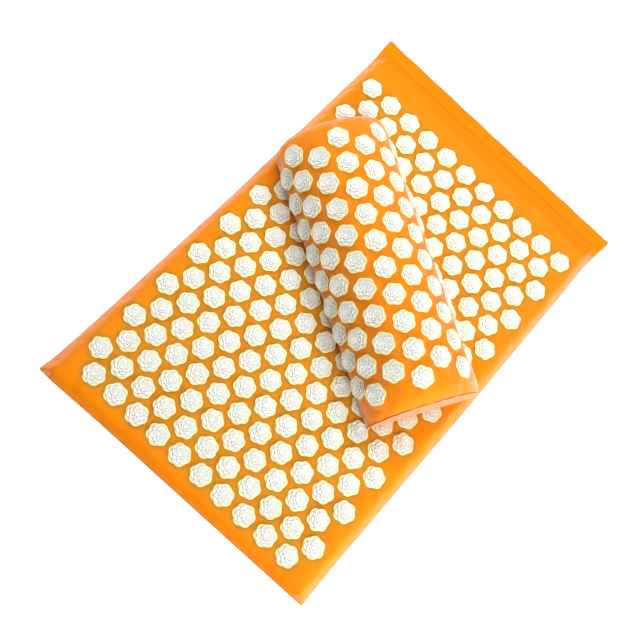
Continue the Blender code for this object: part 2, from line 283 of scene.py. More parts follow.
def make_piece(name, points, faces, finish, cut=None):
    """A mesh object with its finish and, for cloth, its place on the flat cut."""
    mesh = bpy.data.meshes.new(name)
    corners = [[int(corner) for corner in face] for face in faces]
    mesh.from_pydata(np.asarray(points).reshape(-1, 3).tolist(), [], corners)
    mesh.materials.append(finish)
    mesh.shade_smooth()
    if cut is not None:
        corner_points = np.zeros(len(mesh.loops), dtype=np.int32)
        mesh.loops.foreach_get("vertex_index", corner_points)
        layer = mesh.uv_layers.new(name="cloth")
        flat = np.asarray(cut).reshape(-1, 2)[corner_points]
        layer.data.foreach_set("uv", flat.astype(np.float32).ravel())
    return place_object(name, mesh)


def thicken(piece, thickness, side=-1.0):
    """Make a sheet a thick, plain mesh: side -1 keeps the sheet as its outer face."""
    shell = piece.modifiers.new("thickness", "SOLIDIFY")
    shell.thickness = thickness
    shell.offset = side
    settle(piece)


def settle(piece):
    """Turn a piece's modifiers into plain mesh and keep its cut edges crisp."""
    bpy.context.view_layer.update()
    graph = bpy.context.evaluated_depsgraph_get()
    shown = piece.evaluated_get(graph)
    mesh = bpy.data.meshes.new_from_object(shown, preserve_all_data_layers=True, depsgraph=graph)
    piece.modifiers.clear()
    piece.data = mesh
    mesh.set_sharp_from_angle(angle=crisp_angle)


def set_values(piece, name, values):
    """Store one number for each point, which a material can read."""
    layer = piece.data.attributes.new(name, "FLOAT", "POINT")
    layer.data.foreach_set("value", np.asarray(values, dtype=np.float32).ravel())


print("grid of 3 by 4 points has", len(grid_faces(3, 4)), "faces")

# %% [markdown]
# ## Woven cotton
# Seen close, the cover is a plain weave: every thread goes over one and under the next.
# A checker picks which thread is on top in each square, and the rounding of that thread
# comes from a sine across it; the gaps between the threads get a painted shade. Far away
# only the slow changes of tone show, and a pale bloom where the cloth turns away from the
# eye, from its raised fibres. The bloom is the shader's sheen, which keeps working from any
# side. Close to the discs the cloth is pulled down, and its colour there is painted darker
# and browner as painted shade; each mesh carries a number that says how close. The hem,
# which lies pressed flat, has almost no bloom.

# %% Make the cotton finish
thread_pitch = 0.55 * mm
cotton_orange = (0.97, 0.280, 0.002, 1.0)
cotton_shade = (0.92, 0.233, 0.002, 1.0)
cotton_underside = (0.91, 0.25, 0.002, 1.0)
# Painted shade: the colour of the cloth close to the discs.
cotton_disc_shade = (0.46, 0.235, 0.022, 1.0)
cotton_look = {"Roughness": 0.55, "IOR": 1.10, "Sheen Tint": (1.0, 0.86, 0.78, 1.0)}
tone_waves = 14.0
slub_waves = 900.0
nap_waves = 110.0
nap_relief = (0.5 * mm, 0.6)
thread_relief = (0.10 * mm, 0.7)
slub_share = 0.16
weave_shade_share = 0.22
weave_shade_brightness = 0.72


def new_finish(name, look):
    """A Principled finish with this look, and its node tree."""
    material = bpy.data.materials.new(name)
    material.use_nodes = True
    tree = material.node_tree
    shader = tree.nodes["Principled BSDF"]
    fill_inputs(tree, shader, look)
    return material, tree, shader


def darker(colour, brightness):
    """A colour at a share of its brightness."""
    return tuple(brightness * part for part in colour[:3]) + (1.0,)


def mix_colour(tree, share, first, second):
    """A colour mix between two colours or sockets."""
    inputs = {0: share, 6: first, 7: second}
    return add_node(tree, "ShaderNodeMix", inputs, data_type="RGBA").outputs[2]


def object_place(tree):
    """Where each point lies on its object, in metres."""
    return add_node(tree, "ShaderNodeTexCoord").outputs["Object"]


def noise(tree, scale, detail=2.0):
    """Noise with about this many waves to the metre."""
    inputs = {"Scale": scale, "Detail": detail, "Vector": object_place(tree)}
    return add_node(tree, "ShaderNodeTexNoise", inputs).outputs["Fac"]


def read_value(tree, name):
    """A number that the mesh carries at each point."""
    return add_node(tree, "ShaderNodeAttribute", attribute_name=name).outputs["Fac"]


def weave_height(tree, pitch):
    """Height of a plain weave, from nought in its gaps to one on its threads."""
    flat = add_node(tree, "ShaderNodeUVMap", uv_map="cloth").outputs[0]
    inputs = {0: flat, "Scale": 1.0 / pitch}
    threads = add_node(tree, "ShaderNodeVectorMath", inputs, operation="SCALE").outputs[0]
    rounds = []
    for part in add_node(tree, "ShaderNodeSeparateXYZ", {0: threads}).outputs[:2]:
        wave = math_node(tree, "SINE", math_node(tree, "MULTIPLY", part, math.pi))
        rounds.append(math_node(tree, "ABSOLUTE", wave))
    checker = add_node(tree, "ShaderNodeTexChecker", {"Scale": 1.0, "Vector": threads})
    inputs = {0: checker.outputs["Fac"], 2: rounds[0], 3: rounds[1]}
    return add_node(tree, "ShaderNodeMix", inputs, data_type="FLOAT").outputs[0]


def bump(tree, shader, height, distance, strength, under=None):
    """Raise the shading by a height, on top of another bump if there is one."""
    inputs = {"Distance": distance, "Strength": strength, "Height": height}
    if under is not None:
        inputs["Normal"] = under
    raised = add_node(tree, "ShaderNodeBump", inputs).outputs[0]
    tree.links.new(raised, shader.inputs["Normal"])
    return raised


def cotton(name, colour, shade, sheen=1.0, nap=0.34):
    """Dyed plain-weave cotton: slow tones, slubs, threads, painted shade in the weave's gaps, bloom, and
    painted shade by the discs.
    """
    look = {**cotton_look, "Sheen Weight": sheen, "Sheen Roughness": nap}
    material, tree, shader = new_finish(name, look)
    tone = mix_colour(tree, noise(tree, tone_waves, 3.0), shade, colour)
    slub = math_node(tree, "MULTIPLY", noise(tree, slub_waves, 1.0), slub_share)
    tone = mix_colour(tree, slub, tone, shade)
    weave = weave_height(tree, thread_pitch)
    # Painted shade: the gaps between the threads are darker.
    gap = math_node(tree, "MULTIPLY", math_node(tree, "SUBTRACT", 1.0, weave), weave_shade_share)
    tone = mix_colour(tree, gap, tone, darker(shade, weave_shade_brightness))
    # Painted shade: the cloth turns darker and browner towards the discs.
    tone = mix_colour(tree, read_value(tree, "by_disc"), tone, cotton_disc_shade)
    tree.links.new(tone, shader.inputs["Base Color"])
    soft = bump(tree, shader, noise(tree, nap_waves, 3.0), *nap_relief)
    bump(tree, shader, weave, *thread_relief, under=soft)
    return material


cover_finish = cotton("orange_cotton", cotton_orange, cotton_shade, nap=0.36)
hem_finish = cotton("orange_cotton_hem", cotton_orange, cotton_shade, sheen=0.03)
pillow_finish = cotton("orange_cotton_pillow", cotton_orange, cotton_shade, nap=0.38)
end_finish = cotton("orange_cotton_pillow_end", cotton_orange, cotton_shade, nap=0.52)
base_finish = cotton("orange_cotton_underside", cotton_underside, cotton_shade)
print("cotton with", round(1 / (thread_pitch / mm * 0.1)), "threads to the centimetre")

# %% [markdown]
# ## Moulded plastic, thread, foam and tape
# The discs are ivory plastic. Their thin outer rim lets the orange cloth glow through, and
# the narrow gaps between the petals are painted grey as painted shade, so the finish reads
# two numbers that the mesh carries: how deep a point lies between petals, which sets the
# painted shade, and how near it is to the rim.

# %% Make the other finishes
ivory_white = (0.995, 1.0, 0.955, 1.0)
ivory_rim = (0.98, 0.87, 0.42, 1.0)
ivory_petal_shade = (0.20, 0.21, 0.19, 1.0)
foam_cream = (0.90, 0.84, 0.62, 1.0)
foam_pore_shade = (0.60, 0.52, 0.30, 1.0)
tape_orange = (0.90, 0.26, 0.02, 1.0)
thread_orange = (0.80, 0.19, 0.004, 1.0)
# Both brown threads below are partly thread colour and partly painted seam shade.
thread_brown_and_shade = (0.24, 0.07, 0.02, 1.0)
thread_edge_and_shade = (0.46, 0.15, 0.03, 1.0)
plastic_look = {
    "Roughness": 0.38,
    "Specular IOR Level": 0.45,
    "Subsurface Weight": 0.12,
    "Subsurface Radius": (1.0, 0.8, 0.5),
    "Subsurface Scale": 1.2 * mm,
}
thread_look = {"Roughness": 0.7, "Sheen Weight": 0.1}
foam_look = {"Roughness": 0.95}
tape_look = {"Roughness": 0.6, "Sheen Weight": 0.25}
cloud_waves, cloud_share = 160.0, 0.10
grain_waves, grain_relief = 1400.0, (0.04 * mm, 0.5)
twist_waves, twist_shade, twist_relief = 2600.0, 0.6, (0.1 * mm, 0.8)
foam_cells, foam_waves, foam_relief = 700.0, 30.0, (0.6 * mm, 0.8)
fuzz_waves, fuzz_strength = 1800.0, 0.8
tape_shade, tape_relief = 0.55, (0.2 * mm, 0.6)


def moulded_plastic():
    """Satin ivory plastic, warm at the thin rim and with painted grey shade between the petals."""
    material, tree, shader = new_finish("ivory_plastic", plastic_look)
    cloudy = math_node(tree, "MULTIPLY", noise(tree, cloud_waves), cloud_share)
    body = mix_colour(tree, cloudy, ivory_white, ivory_rim)
    warm = mix_colour(tree, read_value(tree, "rim"), body, ivory_rim)
    # Painted shade: grey between the petals and at the disc's foot.
    tone = mix_colour(tree, read_value(tree, "gap"), warm, ivory_petal_shade)
    tree.links.new(tone, shader.inputs["Base Color"])
    bump(tree, shader, noise(tree, grain_waves), *grain_relief)
    return material


def sewing_thread(name, colour):
    """Spun thread: a slight twist shows as fine bands."""
    material, tree, shader = new_finish(name, thread_look)
    twist = noise(tree, twist_waves)
    tone = mix_colour(tree, twist, darker(colour, twist_shade), colour)
    tree.links.new(tone, shader.inputs["Base Color"])
    bump(tree, shader, twist, *twist_relief)
    return material


def open_foam():
    """Cream foam, pitted by its open cells, with painted shade in the pits."""
    material, tree, shader = new_finish("cream_foam", foam_look)
    inputs = {"Scale": foam_cells, "Vector": object_place(tree)}
    depth = add_node(tree, "ShaderNodeTexVoronoi", inputs).outputs["Distance"]
    # Painted shade: the pits of the open cells are darker.
    tone = mix_colour(tree, depth, foam_pore_shade, foam_cream)
    tone = mix_colour(tree, noise(tree, foam_waves), tone, foam_cream)
    tree.links.new(tone, shader.inputs["Base Color"])
    bump(tree, shader, depth, *foam_relief)
    return material


def woven_tape(name, pitch, fuzz):
    """Nylon tape: a coarse weave under either stiff hooks or a napped face, with painted shade in its gaps.
    """
    material, tree, shader = new_finish(name, tape_look)
    weave = weave_height(tree, pitch)
    # Painted shade: the gaps of the weave are darker.
    tone = mix_colour(tree, weave, darker(tape_orange, tape_shade), tape_orange)
    tree.links.new(tone, shader.inputs["Base Color"])
    soft = bump(tree, shader, noise(tree, fuzz_waves, 3.0), fuzz, fuzz_strength)
    bump(tree, shader, weave, *tape_relief, under=soft)
    return material


plastic_finish = moulded_plastic()
seam_thread = sewing_thread("orange_thread", thread_orange)
tack_thread_and_seam_shade = sewing_thread("brown_thread", thread_brown_and_shade)
edge_thread = sewing_thread("edge_thread", thread_edge_and_shade)
foam_finish = open_foam()
hook_finish = woven_tape("hook_tape_nylon", pitch=1.1 * mm, fuzz=0.1 * mm)
loop_finish = woven_tape("loop_tape_nylon", pitch=0.9 * mm, fuzz=0.5 * mm)
print("finishes made:", len(bpy.data.materials))

# %% [markdown]
# ## Where every disc sits
# The frame holds each row of discs as one solid. Its points, sorted along the row, fall
# into equal groups, one for each disc. The flattest direction of a group is the disc's
# own axis, so a disc on the curved pillow gives its tilt as easily as one on the flat mat.

# %% Read the seats of the discs
points_per_disc = 35
pillow_middle_height = 0.4


def node_points(name):
    """The different points of a node's mesh, in the frame."""
    mesh = frame["nodes"][name].data
    points = np.zeros(len(mesh.vertices) * 3)
    mesh.vertices.foreach_get("co", points)
    return np.unique(points.reshape(-1, 3).round(6), axis=0)


def main_axes(points):
    """Directions in which points spread, from the widest to the flattest."""
    spread = np.linalg.svd(points - points.mean(axis=0), full_matrices=False)
    return spread[2]


def disc_seats(name, outward_from):
    """Place and axis of each disc in a row, counted along the row."""
    points = node_points(name)
    along = main_axes(points)[0]
    along = along * np.sign(along[0])
    order = np.argsort(points @ along)
    seats = []
    for group in np.array_split(points[order], len(points) // points_per_disc):
        middle = group.mean(axis=0)
        axis = main_axes(group)[2]
        if axis @ (middle - outward_from) < 0:
            axis = -axis
        foot = middle + axis * ((group - middle) @ axis).min()
        seats.append((foot, axis, along))
    return seats


mat_rows = sorted(name for name in frame["nodes"] if name.startswith("mat_disc_row"))
pillow_rows = sorted(name for name in frame["nodes"] if name.startswith("pillow_disc_row"))
pillow_middle = node_points("pillow_studded_cover").mean(axis=0)
pillow_middle[2] *= pillow_middle_height
mat_seats = {name: disc_seats(name, np.array([0.0, 0.0, -1.0])) for name in mat_rows}
pillow_seats = {name: disc_seats(name, pillow_middle) for name in pillow_rows}
print("discs on the mat", sum(map(len, mat_seats.values())))
print("discs on the pillow", sum(map(len, pillow_seats.values())))

# %% [markdown]
# ## One lotus disc
# A disc is a thin round plate with rings of petals standing on it, each ring higher and
# narrower than the last, like an open rose. Every petal curls up to a point, and the
# points are what presses on the skin. The mesh follows that plan: circles of points from
# the rim inwards, each bent into lobes by a cosine, that climb a steep outer wall, cross a
# thin lip and slope down into the petal before the next wall. A slight saw-tooth in the
# radius tucks one side of each petal under its neighbour.

# %% Shape the disc
disc_lobes = 6
steps_per_lobe = 10
wall_lean = 0.38 * mm
lip_width = 0.55 * mm
lip_round = 0.14 * mm
tuck_depth = 0.42 * mm
point_width_share = 0.42
point_sharpness = 1.5
lip_sag = 0.35
petal_shade_depth_least = 0.45
floor_ease = 0.2 * mm
bud_rise = 0.35 * mm
rim_radius = 13.9 * mm
rim_lobe = 0.78 * mm
rim_sharpness = 1.5
petal_fullness = 0.8
rim_floor = 0.85 * mm
# Each row's gap is painted shade at the disc's foot.
rim_profile = (
    {"inset": 0.35, "height": 0.0, "gap": 0.35},
    {"inset": 0.0, "height": 0.35, "gap": 0.1},
    {"inset": 0.10, "height": 1.0, "gap": 0.0},
    {"inset": 0.45, "height": 1.15, "gap": 0.0},
    {"inset": 1.20, "height": 0.9, "gap": 0.0},
)
petal_rings = (
    {"radius": 11.2, "lobe": 0.80, "turn": 0.5, "lip": 2.2, "point": 0.7, "floor": 1.2},
    {"radius": 8.0, "lobe": 0.68, "turn": 0.0, "lip": 3.0, "point": 0.7, "floor": 1.9},
    {"radius": 5.0, "lobe": 0.48, "turn": 0.5, "lip": 3.6, "point": 0.6, "floor": 2.6},
    {"radius": 2.5, "lobe": 0.28, "turn": 0.2, "lip": 4.0, "point": 0.45, "floor": 3.3},
)

angles = np.linspace(0.0, 2 * math.pi, disc_lobes * steps_per_lobe, endpoint=False)


def petal_phase(turn):
    """How far each angle is along its petal, from -1 at one side to 1 at the other."""
    along = (angles / (2 * math.pi) * disc_lobes + turn + 0.5) % 1.0
    return along * 2 - 1


def lobed_radius(radius, lobe, turn, tuck, sharpness=petal_fullness):
    """Radius of a ring: full in the middle of each petal, drawn in between them."""
    phase = petal_phase(turn)
    fullness = 2 * np.abs(np.cos(phase * math.pi / 2)) ** sharpness - 1
    return radius + lobe * fullness + tuck * phase


def lip_heights(ring):
    """Height of a ring's lip, which rises to a point in the middle of each petal."""
    phase = np.abs(petal_phase(ring["turn"]))
    point = np.clip(1 - phase / point_width_share, 0.0, 1.0) ** point_sharpness
    return (ring["lip"] + ring["point"] * point - lip_sag * phase ** 2) * mm


def disc_circles():
    """Circles of a disc from its underside in: radius, height, gap value (painted shade) and rim value."""
    rim = lobed_radius(rim_radius, rim_lobe, 0.0, 0.0, rim_sharpness)
    circles = [(rim - row["inset"] * mm, row["height"] * mm, row["gap"], 1.0) for row in rim_profile]
    floor = rim_floor
    for ring in petal_rings:
        radius = lobed_radius(ring["radius"] * mm, ring["lobe"] * mm, ring["turn"], tuck_depth)
        lip = lip_heights(ring)
        warmth = 0.8 if floor == rim_floor else 0.0
        # Painted shade between the petals, deepest where two petals meet.
        petal_shade_depth = petal_shade_depth_least + (1 - petal_shade_depth_least) * petal_phase(ring["turn"]) ** 2
        circles += [
            (radius + 2.6 * wall_lean, floor, 0.15 * petal_shade_depth, warmth),
            (radius + wall_lean, floor, petal_shade_depth, 0.5 * warmth),
            (radius + 0.2 * wall_lean, (floor + lip) / 2, 0.8 * petal_shade_depth, 0.0),
            (radius, lip - lip_round, 0.15 * petal_shade_depth, 0.4 * warmth),
            (radius - 0.5 * lip_width, lip, 0.0, 0.4 * warmth),
            (radius - lip_width, lip - 2 * lip_round, 0.1, 0.2 * warmth),
            (radius - 2.2 * lip_width, ring["floor"] * mm + floor_ease, 0.15, 0.0),
        ]
        floor = ring["floor"] * mm
    return circles


def lotus_disc():
    """Points, faces and the two finish values of one disc, standing on its axis."""
    circles = disc_circles()
    count = len(angles)
    across = np.cos(angles)
    along = np.sin(angles)
    rows = []
    for radius, height, _, _ in circles:
        level = np.broadcast_to(height, count)
        rows.append(np.stack([radius * across, radius * along, level], axis=-1))
    points = np.concatenate(rows)
    faces = [tuple(face) for face in grid_faces(len(circles), count, closed=True)]
    under = len(points)
    bud = under + 1
    bud_height = petal_rings[-1]["floor"] * mm + bud_rise
    points = np.concatenate([points, [(0.0, 0.0, 0.0), (0.0, 0.0, bud_height)]])
    last = (len(circles) - 1) * count
    for k in range(count):
        after = (k + 1) % count
        faces.append((under, after, k))
        faces.append((last + k, last + after, bud))
    gaps, rims = (
        np.concatenate([np.broadcast_to(circle[which], count) for circle in circles] + [middles])
        for which, middles in ((2, [0.0, 0.1]), (3, [0.5, 0.0]))
    )
    return points, faces, gaps, rims


disc_points, disc_faces, disc_petal_shades, disc_rims = lotus_disc()
print("one disc:", len(disc_points), "points,", round(disc_points[:, 2].max() / mm, 2), "mm high")

# %% [markdown]
# ## Rows of discs
# The discs were set on the cloth by hand or machine with no care for their turn, so each
# one here gets its own chance angle and a trace of tilt. The chance is seeded, which makes
# it the same on every run. The soft pillow bulges over the mat, so its lowest rows of discs
# stand further out than in the frame and lean back.

# %% Set the discs in their rows
chance = np.random.default_rng(27)
disc_tilt = math.radians(1.1)
disc_crisp_angle = math.radians(50)
seat_drop = 0.25 * mm
low_rows = {
    "pillow_disc_row_1": {"lift": math.radians(9.0), "out": 1.4 * mm, "down": 0.0},
    "pillow_disc_row_2": {"lift": math.radians(9.0), "out": 2.2 * mm, "down": 1.6 * mm},
    "pillow_disc_row_3": {"lift": math.radians(3.0), "out": 0.9 * mm, "down": 1.2 * mm},
}


def seat_matrix(seat):
    """Turns a disc by chance about its axis and sets it on its seat."""
    foot, axis, along = seat
    side = np.cross(axis, along)
    side = side / np.linalg.norm(side)
    forward = np.cross(side, axis)
    turn = chance.uniform(0.0, 2 * math.pi)
    lean_x, lean_y = chance.normal(0.0, disc_tilt / 2, 2)
    spin = np.array([
        [math.cos(turn), -math.sin(turn), lean_x],
        [math.sin(turn), math.cos(turn), lean_y],
        [-lean_x, -lean_y, 1.0],
    ])
    return np.stack([forward, side, axis], axis=-1) @ spin, foot - axis * seat_drop


def lifted(seat, lift, out, down):
    """A seat on the bulging side of the pillow: further out and down, and leaning back."""
    foot, axis, along = seat
    rise = np.array([0.0, 0.0, 1.0]) - axis * axis[2]
    rise = rise / np.linalg.norm(rise)
    return foot + out * axis - down * rise, math.cos(lift) * axis + math.sin(lift) * rise, along


def add_disc_row(name, seats, body):
    """All discs of a row as one piece, in place of the frame's plain row."""
    placed = [seat_matrix(seat) for seat in seats]
    copies = [disc_points @ turn.T + foot for turn, foot in placed]
    row = make_piece(name.replace("disc", "lotus"), *joined_copies(copies, disc_faces), plastic_finish)
    row.data.set_sharp_from_angle(angle=disc_crisp_angle)
    # The gap values are painted grey shade between the petals.
    set_values(row, "gap", np.tile(disc_petal_shades, len(seats)))
    set_values(row, "rim", np.tile(disc_rims, len(seats)))
    stand_in(row, body, name)


for name, seats in mat_seats.items():
    add_disc_row(name, seats, "mat")
for name, change in low_rows.items():
    pillow_seats[name] = [lifted(seat, **change) for seat in pillow_seats[name]]
for name, seats in pillow_seats.items():
    add_disc_row(name, seats, "pillow")
print("rows of discs:", len(mat_seats) + len(pillow_seats))

# %% [markdown]
# ## Swelling cloth by simulation
# Foam presses the cover outwards, and the discs and seams hold it down. A cloth simulation
# finds the shape in between: the cloth is cut a little large, pressure blows it out with
# gravity switched off, and a few frames later it has swollen between everything that is
# pinned. The result is read back and every point's travel is capped, so the cloth can't
# leave the room that the frame gives it.

# %% Write the simulation helper
simulated_frames = 20
# How far the painted shade round each disc reaches.
disc_shade_reach = 6.5 * mm
hold_reach = 0.93 * rim_radius
hold_fade_share = 0.12
plate_flat = 0.85 * rim_radius
plate_ease = 19.5 * mm
plate_depth = 0.5 * rim_radius
cloth_settings = {
    "quality": 6,
    "mass": 0.2,
    "tension_stiffness": 25,
    "compression_stiffness": 25,
    "shear_stiffness": 8,
    "bending_stiffness": 0.4,
    "vertex_group_mass": "held",
    "use_pressure": True,
}


def nearest_disc(points, seats, depth):
    """Distance of each point from the axis of the nearest disc, one metre if none is near."""
    flat = points.reshape(-1, 3)
    nearest = np.full(len(flat), 1.0)
    for row in seats.values():
        for foot, axis, _ in row:
            away = flat - foot
            level = away - np.outer(away @ axis, axis)
            near = np.abs(away @ axis) < depth
            gap = np.where(near, np.linalg.norm(level, axis=1), 1.0)
            nearest = np.minimum(nearest, gap)
    return nearest


def held_by_discs(points, seats):
    """How firmly each point is held: one under a disc, nought clear of them all."""
    inside = hold_reach - nearest_disc(points, seats, hold_reach)
    return np.clip(inside / (hold_fade_share * hold_reach) + 0.5, 0.0, 1.0)


def lay_on_plates(points, seats):
    """Bring the cloth under each disc onto the flat of its plate, and ease it out around it."""
    flat = points.reshape(-1, 3).copy()
    for row in seats.values():
        for foot, axis, _ in row:
            away = flat - foot
            height = away @ axis
            level = np.linalg.norm(away - np.outer(height, axis), axis=1)
            share = np.clip((plate_ease - level) / (plate_ease - plate_flat), 0, 1)
            share = share * share * (3 - 2 * share) * (np.abs(height) < plate_depth)
            flat -= np.outer(height * share, axis)
    return flat.reshape(points.shape)


def paint_disc_shade(piece, seats, most=1.0):
    """Store the painted shade by the discs: how close each point of a piece lies to the rim of a disc, up
    to a most.
    """
    points = np.zeros(len(piece.data.vertices) * 3)
    piece.data.vertices.foreach_get("co", points)
    away = nearest_disc(points.reshape(-1, 3), seats, rim_radius) - rim_radius
    set_values(piece, "by_disc", most * np.clip(1 - away / disc_shade_reach, 0.0, 1.0))


def swell(name, points, faces, held, pressure, growth, cap):
    """Blow a sheet out between its held points and return the new points."""
    sheet = make_piece(name, points, faces, cover_finish)
    group = sheet.vertex_groups.new(name="held")
    for index, firmness in enumerate(held.ravel()):
        if firmness > 0:
            group.add([index], float(firmness), "REPLACE")
    cloth = sheet.modifiers.new("cloth", "CLOTH")
    settings = cloth.settings
    for setting, value in cloth_settings.items():
        setattr(settings, setting, value)
    settings.uniform_pressure_force = pressure
    settings.shrink_min = -growth
    settings.effector_weights.gravity = 0.0
    cloth.point_cache.frame_start = 1
    cloth.point_cache.frame_end = simulated_frames
    scene = bpy.context.scene
    for number in range(1, simulated_frames + 1):
        scene.frame_set(number)
    graph = bpy.context.evaluated_depsgraph_get()
    result = sheet.evaluated_get(graph).to_mesh()
    moved = np.zeros(len(result.vertices) * 3)
    result.vertices.foreach_get("co", moved)
    sheet.evaluated_get(graph).to_mesh_clear()
    bpy.data.objects.remove(sheet, do_unlink=True)
    scene.frame_set(1)
    travel = moved.reshape(-1, 3) - np.asarray(points).reshape(-1, 3)
    length = np.linalg.norm(travel, axis=1, keepdims=True)
    travel *= np.minimum(1.0, cap / np.maximum(length, 1e-9))
    print(name, "moved at most", round(length.max() / mm, 2), "mm before the cap")
    return np.asarray(points) + travel.reshape(np.shape(points))


print("simulating")

# %% [markdown]
# ## The mat's studded cover
# The top panel runs from the front seam over the foam to the fold of the closure flap. Its
# long sides curve down to the seam at the floor, and its corners stand out a few
# millimetres further than its sides, because the seams meet there and the foam stops
# short. The sewn outline is never quite straight, so each side wanders a little.

# %% Shape the mat's cover
cover_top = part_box("mat_top_cover")[1].z
flap_low, flap_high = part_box("mat_closure_flap")
base_low, base_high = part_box("mat_bottom_cover")
fold_y = joints["closure_flap_fold"]["pos_m"][1]
cloth_thickness = base_high.z - base_low.z
cloth_step = 5.2 * mm
front_round = 9.5 * mm
side_round = 13.5 * mm
bevel_power = 1.55
far_slope = 33.0 * mm
waist = 3.8 * mm
waist_power = 7
edge_power = 6
round_points = 1.1
bevel_points = 1.6
seam_height = base_high.z + cloth_thickness
side_wander = {
    -1: (
        (-0.335, 4.0), (-0.315, 2.9), (-0.22, 2.4), (-0.12, 1.5),
        (0.0, 0.2), (0.22, 1.6), (0.3, 0.6), (0.335, 1.2),
    ),
    1: (
        (-0.335, -0.5), (-0.30, 0.6), (-0.22, 1.8), (0.0, 2.1),
        (0.22, -0.2), (0.28, -2.4), (0.335, -0.5),
    ),
}
front_wander = (
    (-0.213, 4.2), (-0.19, 4.9), (-0.12, 2.2), (0.0, -0.1), (0.12, -2.6), (0.209, -4.6),
)
far_wander = ((-0.209, 1.6), (0.0, 0.8), (0.209, 0.6))


def wander(table, place):
    """How far a sewn edge strays outwards at a place along it."""
    places, strays = zip(*table)
    return np.interp(place, places, strays) * mm


def half_width(y):
    """Half the cover's width: drawn in between the corners."""
    reach = np.minimum(np.abs(y) / base_high.y, 1.0)
    return base_high.x - waist * (1 - reach ** waist_power)


def rounded_end(radius, rise, step):
    """Insets and height shares up a quarter round."""
    count = round(math.hypot(radius, rise) * round_points / step) + 1
    turn = np.linspace(0.0, math.pi / 2, count)
    return radius * (1 - np.cos(turn)), np.sin(turn)


def bevelled_end(length, step):
    """Insets and height shares up a slope that is steep at its foot and rounds off on top."""
    share = np.linspace(0.0, 1.0, round(bevel_points * length / step) + 1)
    return length * share, 1 - (1 - share) ** bevel_power


def eased_end(length, step):
    """Insets and height shares up a slope that starts and ends level."""
    share = np.linspace(0.0, 1.0, round(length / step) + 1)
    return length * share, share * (1 + share * (3 - 2 * share)) / 2


def run_between(length, first, last, step):
    """Places and height shares along a run with an end shape at each end."""
    flat = length - first[0][-1] - last[0][-1]
    middle = np.linspace(first[0][-1], first[0][-1] + flat, round(flat / step) + 1)[1:-1]
    place = np.concatenate([first[0], middle, length - last[0][::-1]])
    height = np.concatenate([first[1], np.ones(len(middle)), last[1][::-1]])
    return place, height


def sewn_outline(y, share):
    """X and Y of a grid that follows the wandering sewn edges, at shares of the half width."""
    left, right = -wander(side_wander[-1], y)[:, None], wander(side_wander[1], y)[:, None]
    stray = np.where(share < 0, left, right) * np.abs(share) ** edge_power
    x = share * half_width(y)[:, None] + stray
    front = np.clip((fold_y - y) / (fold_y - base_low.y), 0, 1)[:, None] ** edge_power
    places = y[:, None] - wander(front_wander, share * base_high.x) * front
    return x, places


def mat_cover_points():
    """The top panel as a grid of points: rows along the mat, columns across it."""
    rise = cover_top - seam_height
    side = bevelled_end(side_round, cloth_step)
    across, side_rise = run_between(2 * base_high.x, side, side, cloth_step)
    near = rounded_end(front_round, rise, cloth_step)
    far = eased_end(far_slope, cloth_step)
    along, end_rise = run_between(fold_y - base_low.y, near, far, cloth_step)
    share = across / (2 * base_high.x) * 2 - 1
    y = base_low.y + along
    far_rise = (flap_low.z - cloth_thickness) * np.clip(1 - (fold_y - y) / far_slope, 0, 1)
    rim = seam_height + far_rise[:, None]
    height = rim + (cover_top - rim) * side_rise[None, :] * end_rise[:, None]
    return np.stack([*sewn_outline(y, share), height], axis=-1)


def soft_ripples(points):
    """A gentle unevenness in metres, the same on every run."""
    phases = np.random.default_rng(ripple_seed).uniform(0, 2 * math.pi, (6, 3))
    flat = points.reshape(-1, 3)
    total = np.zeros(len(flat))
    for index, (turn, shift, other) in enumerate(phases):
        wave = ripple_size * (0.7 + 0.25 * index)
        direction = np.array([math.cos(turn), math.sin(turn), 0.6 * math.cos(other)])
        total += np.sin(flat @ direction * 2 * math.pi / wave + shift)
    return (total / len(phases) * ripple_height).reshape(points.shape[:-1])


mat_grid = mat_cover_points()
mat_held = held_by_discs(mat_grid, mat_seats).reshape(mat_grid.shape[:2])
mat_held[[0, -1], :] = 1.0
mat_held[:, [0, -1]] = 1.0
print("mat cover grid", mat_grid.shape[:2])

# %% Swell the mat's cover and finish it
mat_pressure = 6.0
mat_growth = 0.012
mat_swell_cap = 1.5 * mm
ripple_size = 60.0 * mm
ripple_height = 0.35 * mm
ripple_seed = 5
front_pressed = 1.2 * front_round
mat_faces = grid_faces(*mat_grid.shape[:2])
mat_cut = cloth_map(mat_grid)
mat_sheet = mat_grid.copy()
mat_sheet[..., 2] += soft_ripples(mat_grid) * (1 - mat_held)
blown = (mat_pressure, mat_growth, mat_swell_cap)
mat_sheet = swell("mat_swelling", mat_sheet, mat_faces, mat_held, *blown)


def round_off(piece):
    """Round a sheet with one subdivision."""
    rounding = piece.modifiers.new("rounding", "SUBSURF")
    rounding.levels = 1
    rounding.render_levels = 1
    return rounding


def finish_cloth(piece, body, node):
    """Round a swollen sheet, thicken it and set it on its body in place of its node."""
    round_off(piece).boundary_smooth = "PRESERVE_CORNERS"
    thicken(piece, cloth_thickness)
    stand_in(piece, body, node)


mat_cover = make_piece("mat_studded_panel", mat_sheet, mat_faces, cover_finish, mat_cut)
mat_cover.data.materials.append(hem_finish)
face_x, face_y, _ = mat_grid.reshape(-1, 3)[mat_faces].mean(axis=1).T
pressed = (face_y > fold_y - far_slope) | (face_y < base_low.y + front_pressed)
pressed &= np.abs(face_x) < base_high.x - side_round
mat_cover.data.polygons.foreach_set("material_index", pressed.astype(np.int32))
finish_cloth(mat_cover, "mat", "mat_top_cover")
# Painted shade: the mat's cloth darkens towards each disc.
paint_disc_shade(mat_cover, mat_seats)
print("mat cover points", len(mat_cover.data.vertices))

